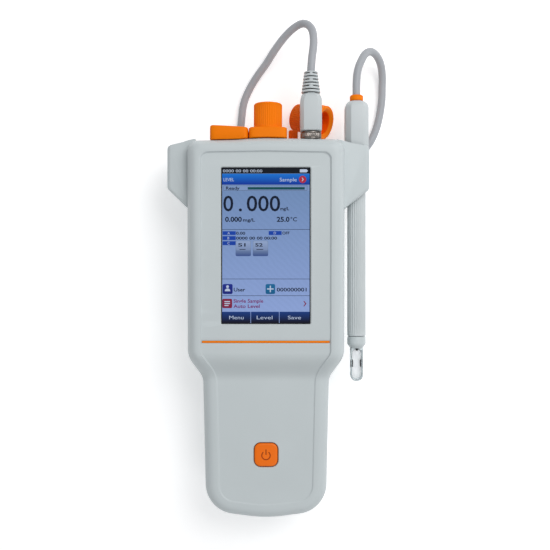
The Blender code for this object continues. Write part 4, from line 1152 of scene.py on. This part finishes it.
# Colour at the upper and at the lower end of a run down the display, the run's ends, strength of the bands.
SCREEN = {name: screen_material("screen_" + name, *row) for name, row in {
    "field": ((0.16, 0.26, 0.47), (0.26, 0.36, 0.66), 14, 88, 0.02),
    "black": ((0.001, 0.003, 0.006), (0.001, 0.004, 0.010), 0, 4),
    "header": ((0.004, 0.15, 0.60), (0.001, 0.028, 0.30), 4.2, 10.2),
    "pale": ((0.20, 0.30, 0.52), (0.20, 0.30, 0.52), 10.5, 14),
    "green": ((0.002, 0.075, 0.085), (0.002, 0.055, 0.070), 11.8, 13.3),
    "navy": ((0.001, 0.006, 0.022), (0.001, 0.006, 0.026), 10, 88),
    "indigo": ((0.010, 0.025, 0.26), (0.006, 0.012, 0.17), 70, 77),
    "keys": ((0.006, 0.038, 0.19), (0.002, 0.003, 0.014), 88, 94.0),
    "tag": ((0.006, 0.060, 0.40), (0.005, 0.045, 0.33), 30, 48),
    "slate": ((0.20, 0.28, 0.44), (0.045, 0.085, 0.25), 48.5, 53.5),
    "shine": ((0.28, 0.37, 0.58), (0.19, 0.26, 0.44), 44.9, 50.2),
    "red": ((0.42, 0.022, 0.045), (0.20, 0.012, 0.045), 4, 86),
    "teal": ((0.008, 0.13, 0.30), (0.004, 0.10, 0.24), 71, 77),
    "white": ((0.50, 0.58, 0.72), (0.46, 0.54, 0.70), 0, 95),
    "maroon": ((0.19, 0.03, 0.14), (0.16, 0.02, 0.12), 78, 88),
}.items()}


# ---- clear pieces and pieces kept from the CAD --------------------------------------
CELL_RUN = (-0.113, -0.0635)  # where the cells' printed jackets start and end along the handle, in metres


def shader_of(mat):
    """A material's main shader node."""
    return mat.node_tree.nodes["Principled BSDF"]


def clear_material(name, rgb, clearness):
    """Clear moulded plastic with a little haze, scuffs and mottled gloss."""
    mat = surface(name, rgb, 0.14, 0.25, 1.2, 0.05)
    feed(mat, shader_of(mat), {"Transmission Weight": clearness, "IOR": 1.46})
    return mat


def board_material(name):
    """Green lacquered board with copper tracks showing through."""
    mat = surface(name, (0.010, 0.10, 0.045), 0.35, 0.1, 0.3, 0.15, coat=0.3)
    tracks = add_node(mat, "TexBrick", "Color", {
        "Scale": 260.0, "Mortar Size": 0.03, "Color1": (0.008, 0.09, 0.04, 1), "Color2": (0.012, 0.12, 0.05, 1),
        "Mortar": (0.05, 0.22, 0.07, 1), "Vector": object_place(mat)})
    feed(mat, shader_of(mat), {"Base Color": tracks})
    return mat


def cell_material(name):
    """A cell's printed jacket: dark with one copper-coloured band at the button end."""
    dark = (0.02, 0.022, 0.026)
    mat = surface(name, dark, 0.3, 0.1, 0.5, 0.2, coat=0.4)
    along = add_node(mat, "SeparateXYZ", "Y", {"Vector": object_place(mat)})
    run = add_node(mat, "MapRange", "Result", {"From Min": CELL_RUN[0], "From Max": CELL_RUN[1],
                                               "Value": along})
    jacket = colour_ramp(mat, run, dark, (0.45, 0.19, 0.05), (0.0, 0.72), 'CONSTANT')
    feed(mat, shader_of(mat), {"Base Color": jacket})
    return mat


CLEAR = clear_material("clear_plastic", (0.66, 0.72, 0.74), 0.78)
WEB = clear_material("clear_web", (0.93, 0.95, 0.98), 0.72)
BOARD = board_material("board_lacquer")
CELL = cell_material("cell_jacket")
BRIGHT = surface("bright_metal", (0.72, 0.71, 0.69), 0.25, 0.15, 0.3, 0.06, metal=1.0)
SPRING = surface("contact_nickel", (0.55, 0.54, 0.50), 0.35, 0.2, 0.4, 0.12, metal=1.0)


def finish_kept_nodes():
    """Give the CAD nodes that stay on show their finished materials."""
    kept = {"seam_gasket": BLACK, "display_module": BRIGHT, "main_board": BOARD, "button_board": BOARD,
            "button_dome": BRIGHT, "buzzer": BLACK, "contact_plate_lower": SPRING,
            "contact_plate_upper": SPRING, "plug_insert": BLACK, "probe_socket": NICKEL,
            "sensor_socket": NICKEL, "data_socket": NICKEL}
    kept.update({f"battery_cell_{i}": CELL for i in range(1, 5)})
    for node, mat in kept.items():
        obj = bpy.data.objects[node]
        obj.data.materials.clear()
        obj.data.materials.append(mat)


set_camera()
cord, cord_line, cord_length, coil_tie = make_cord()
plug_pieces = make_plug()
set_light()
set_floor()
make_front()
make_back()
make_fittings()
make_holder("left_sleeve", "holder_left", sleeve_x=-55.35, sleeve_r=4.9, pocket=False, lift=3.0)
make_holder("right_sleeve", "holder_right", sleeve_x=PROBE_X, sleeve_r=6.3, pocket=True)
make_caps()
make_probe()
make_display()
finish_kept_nodes()
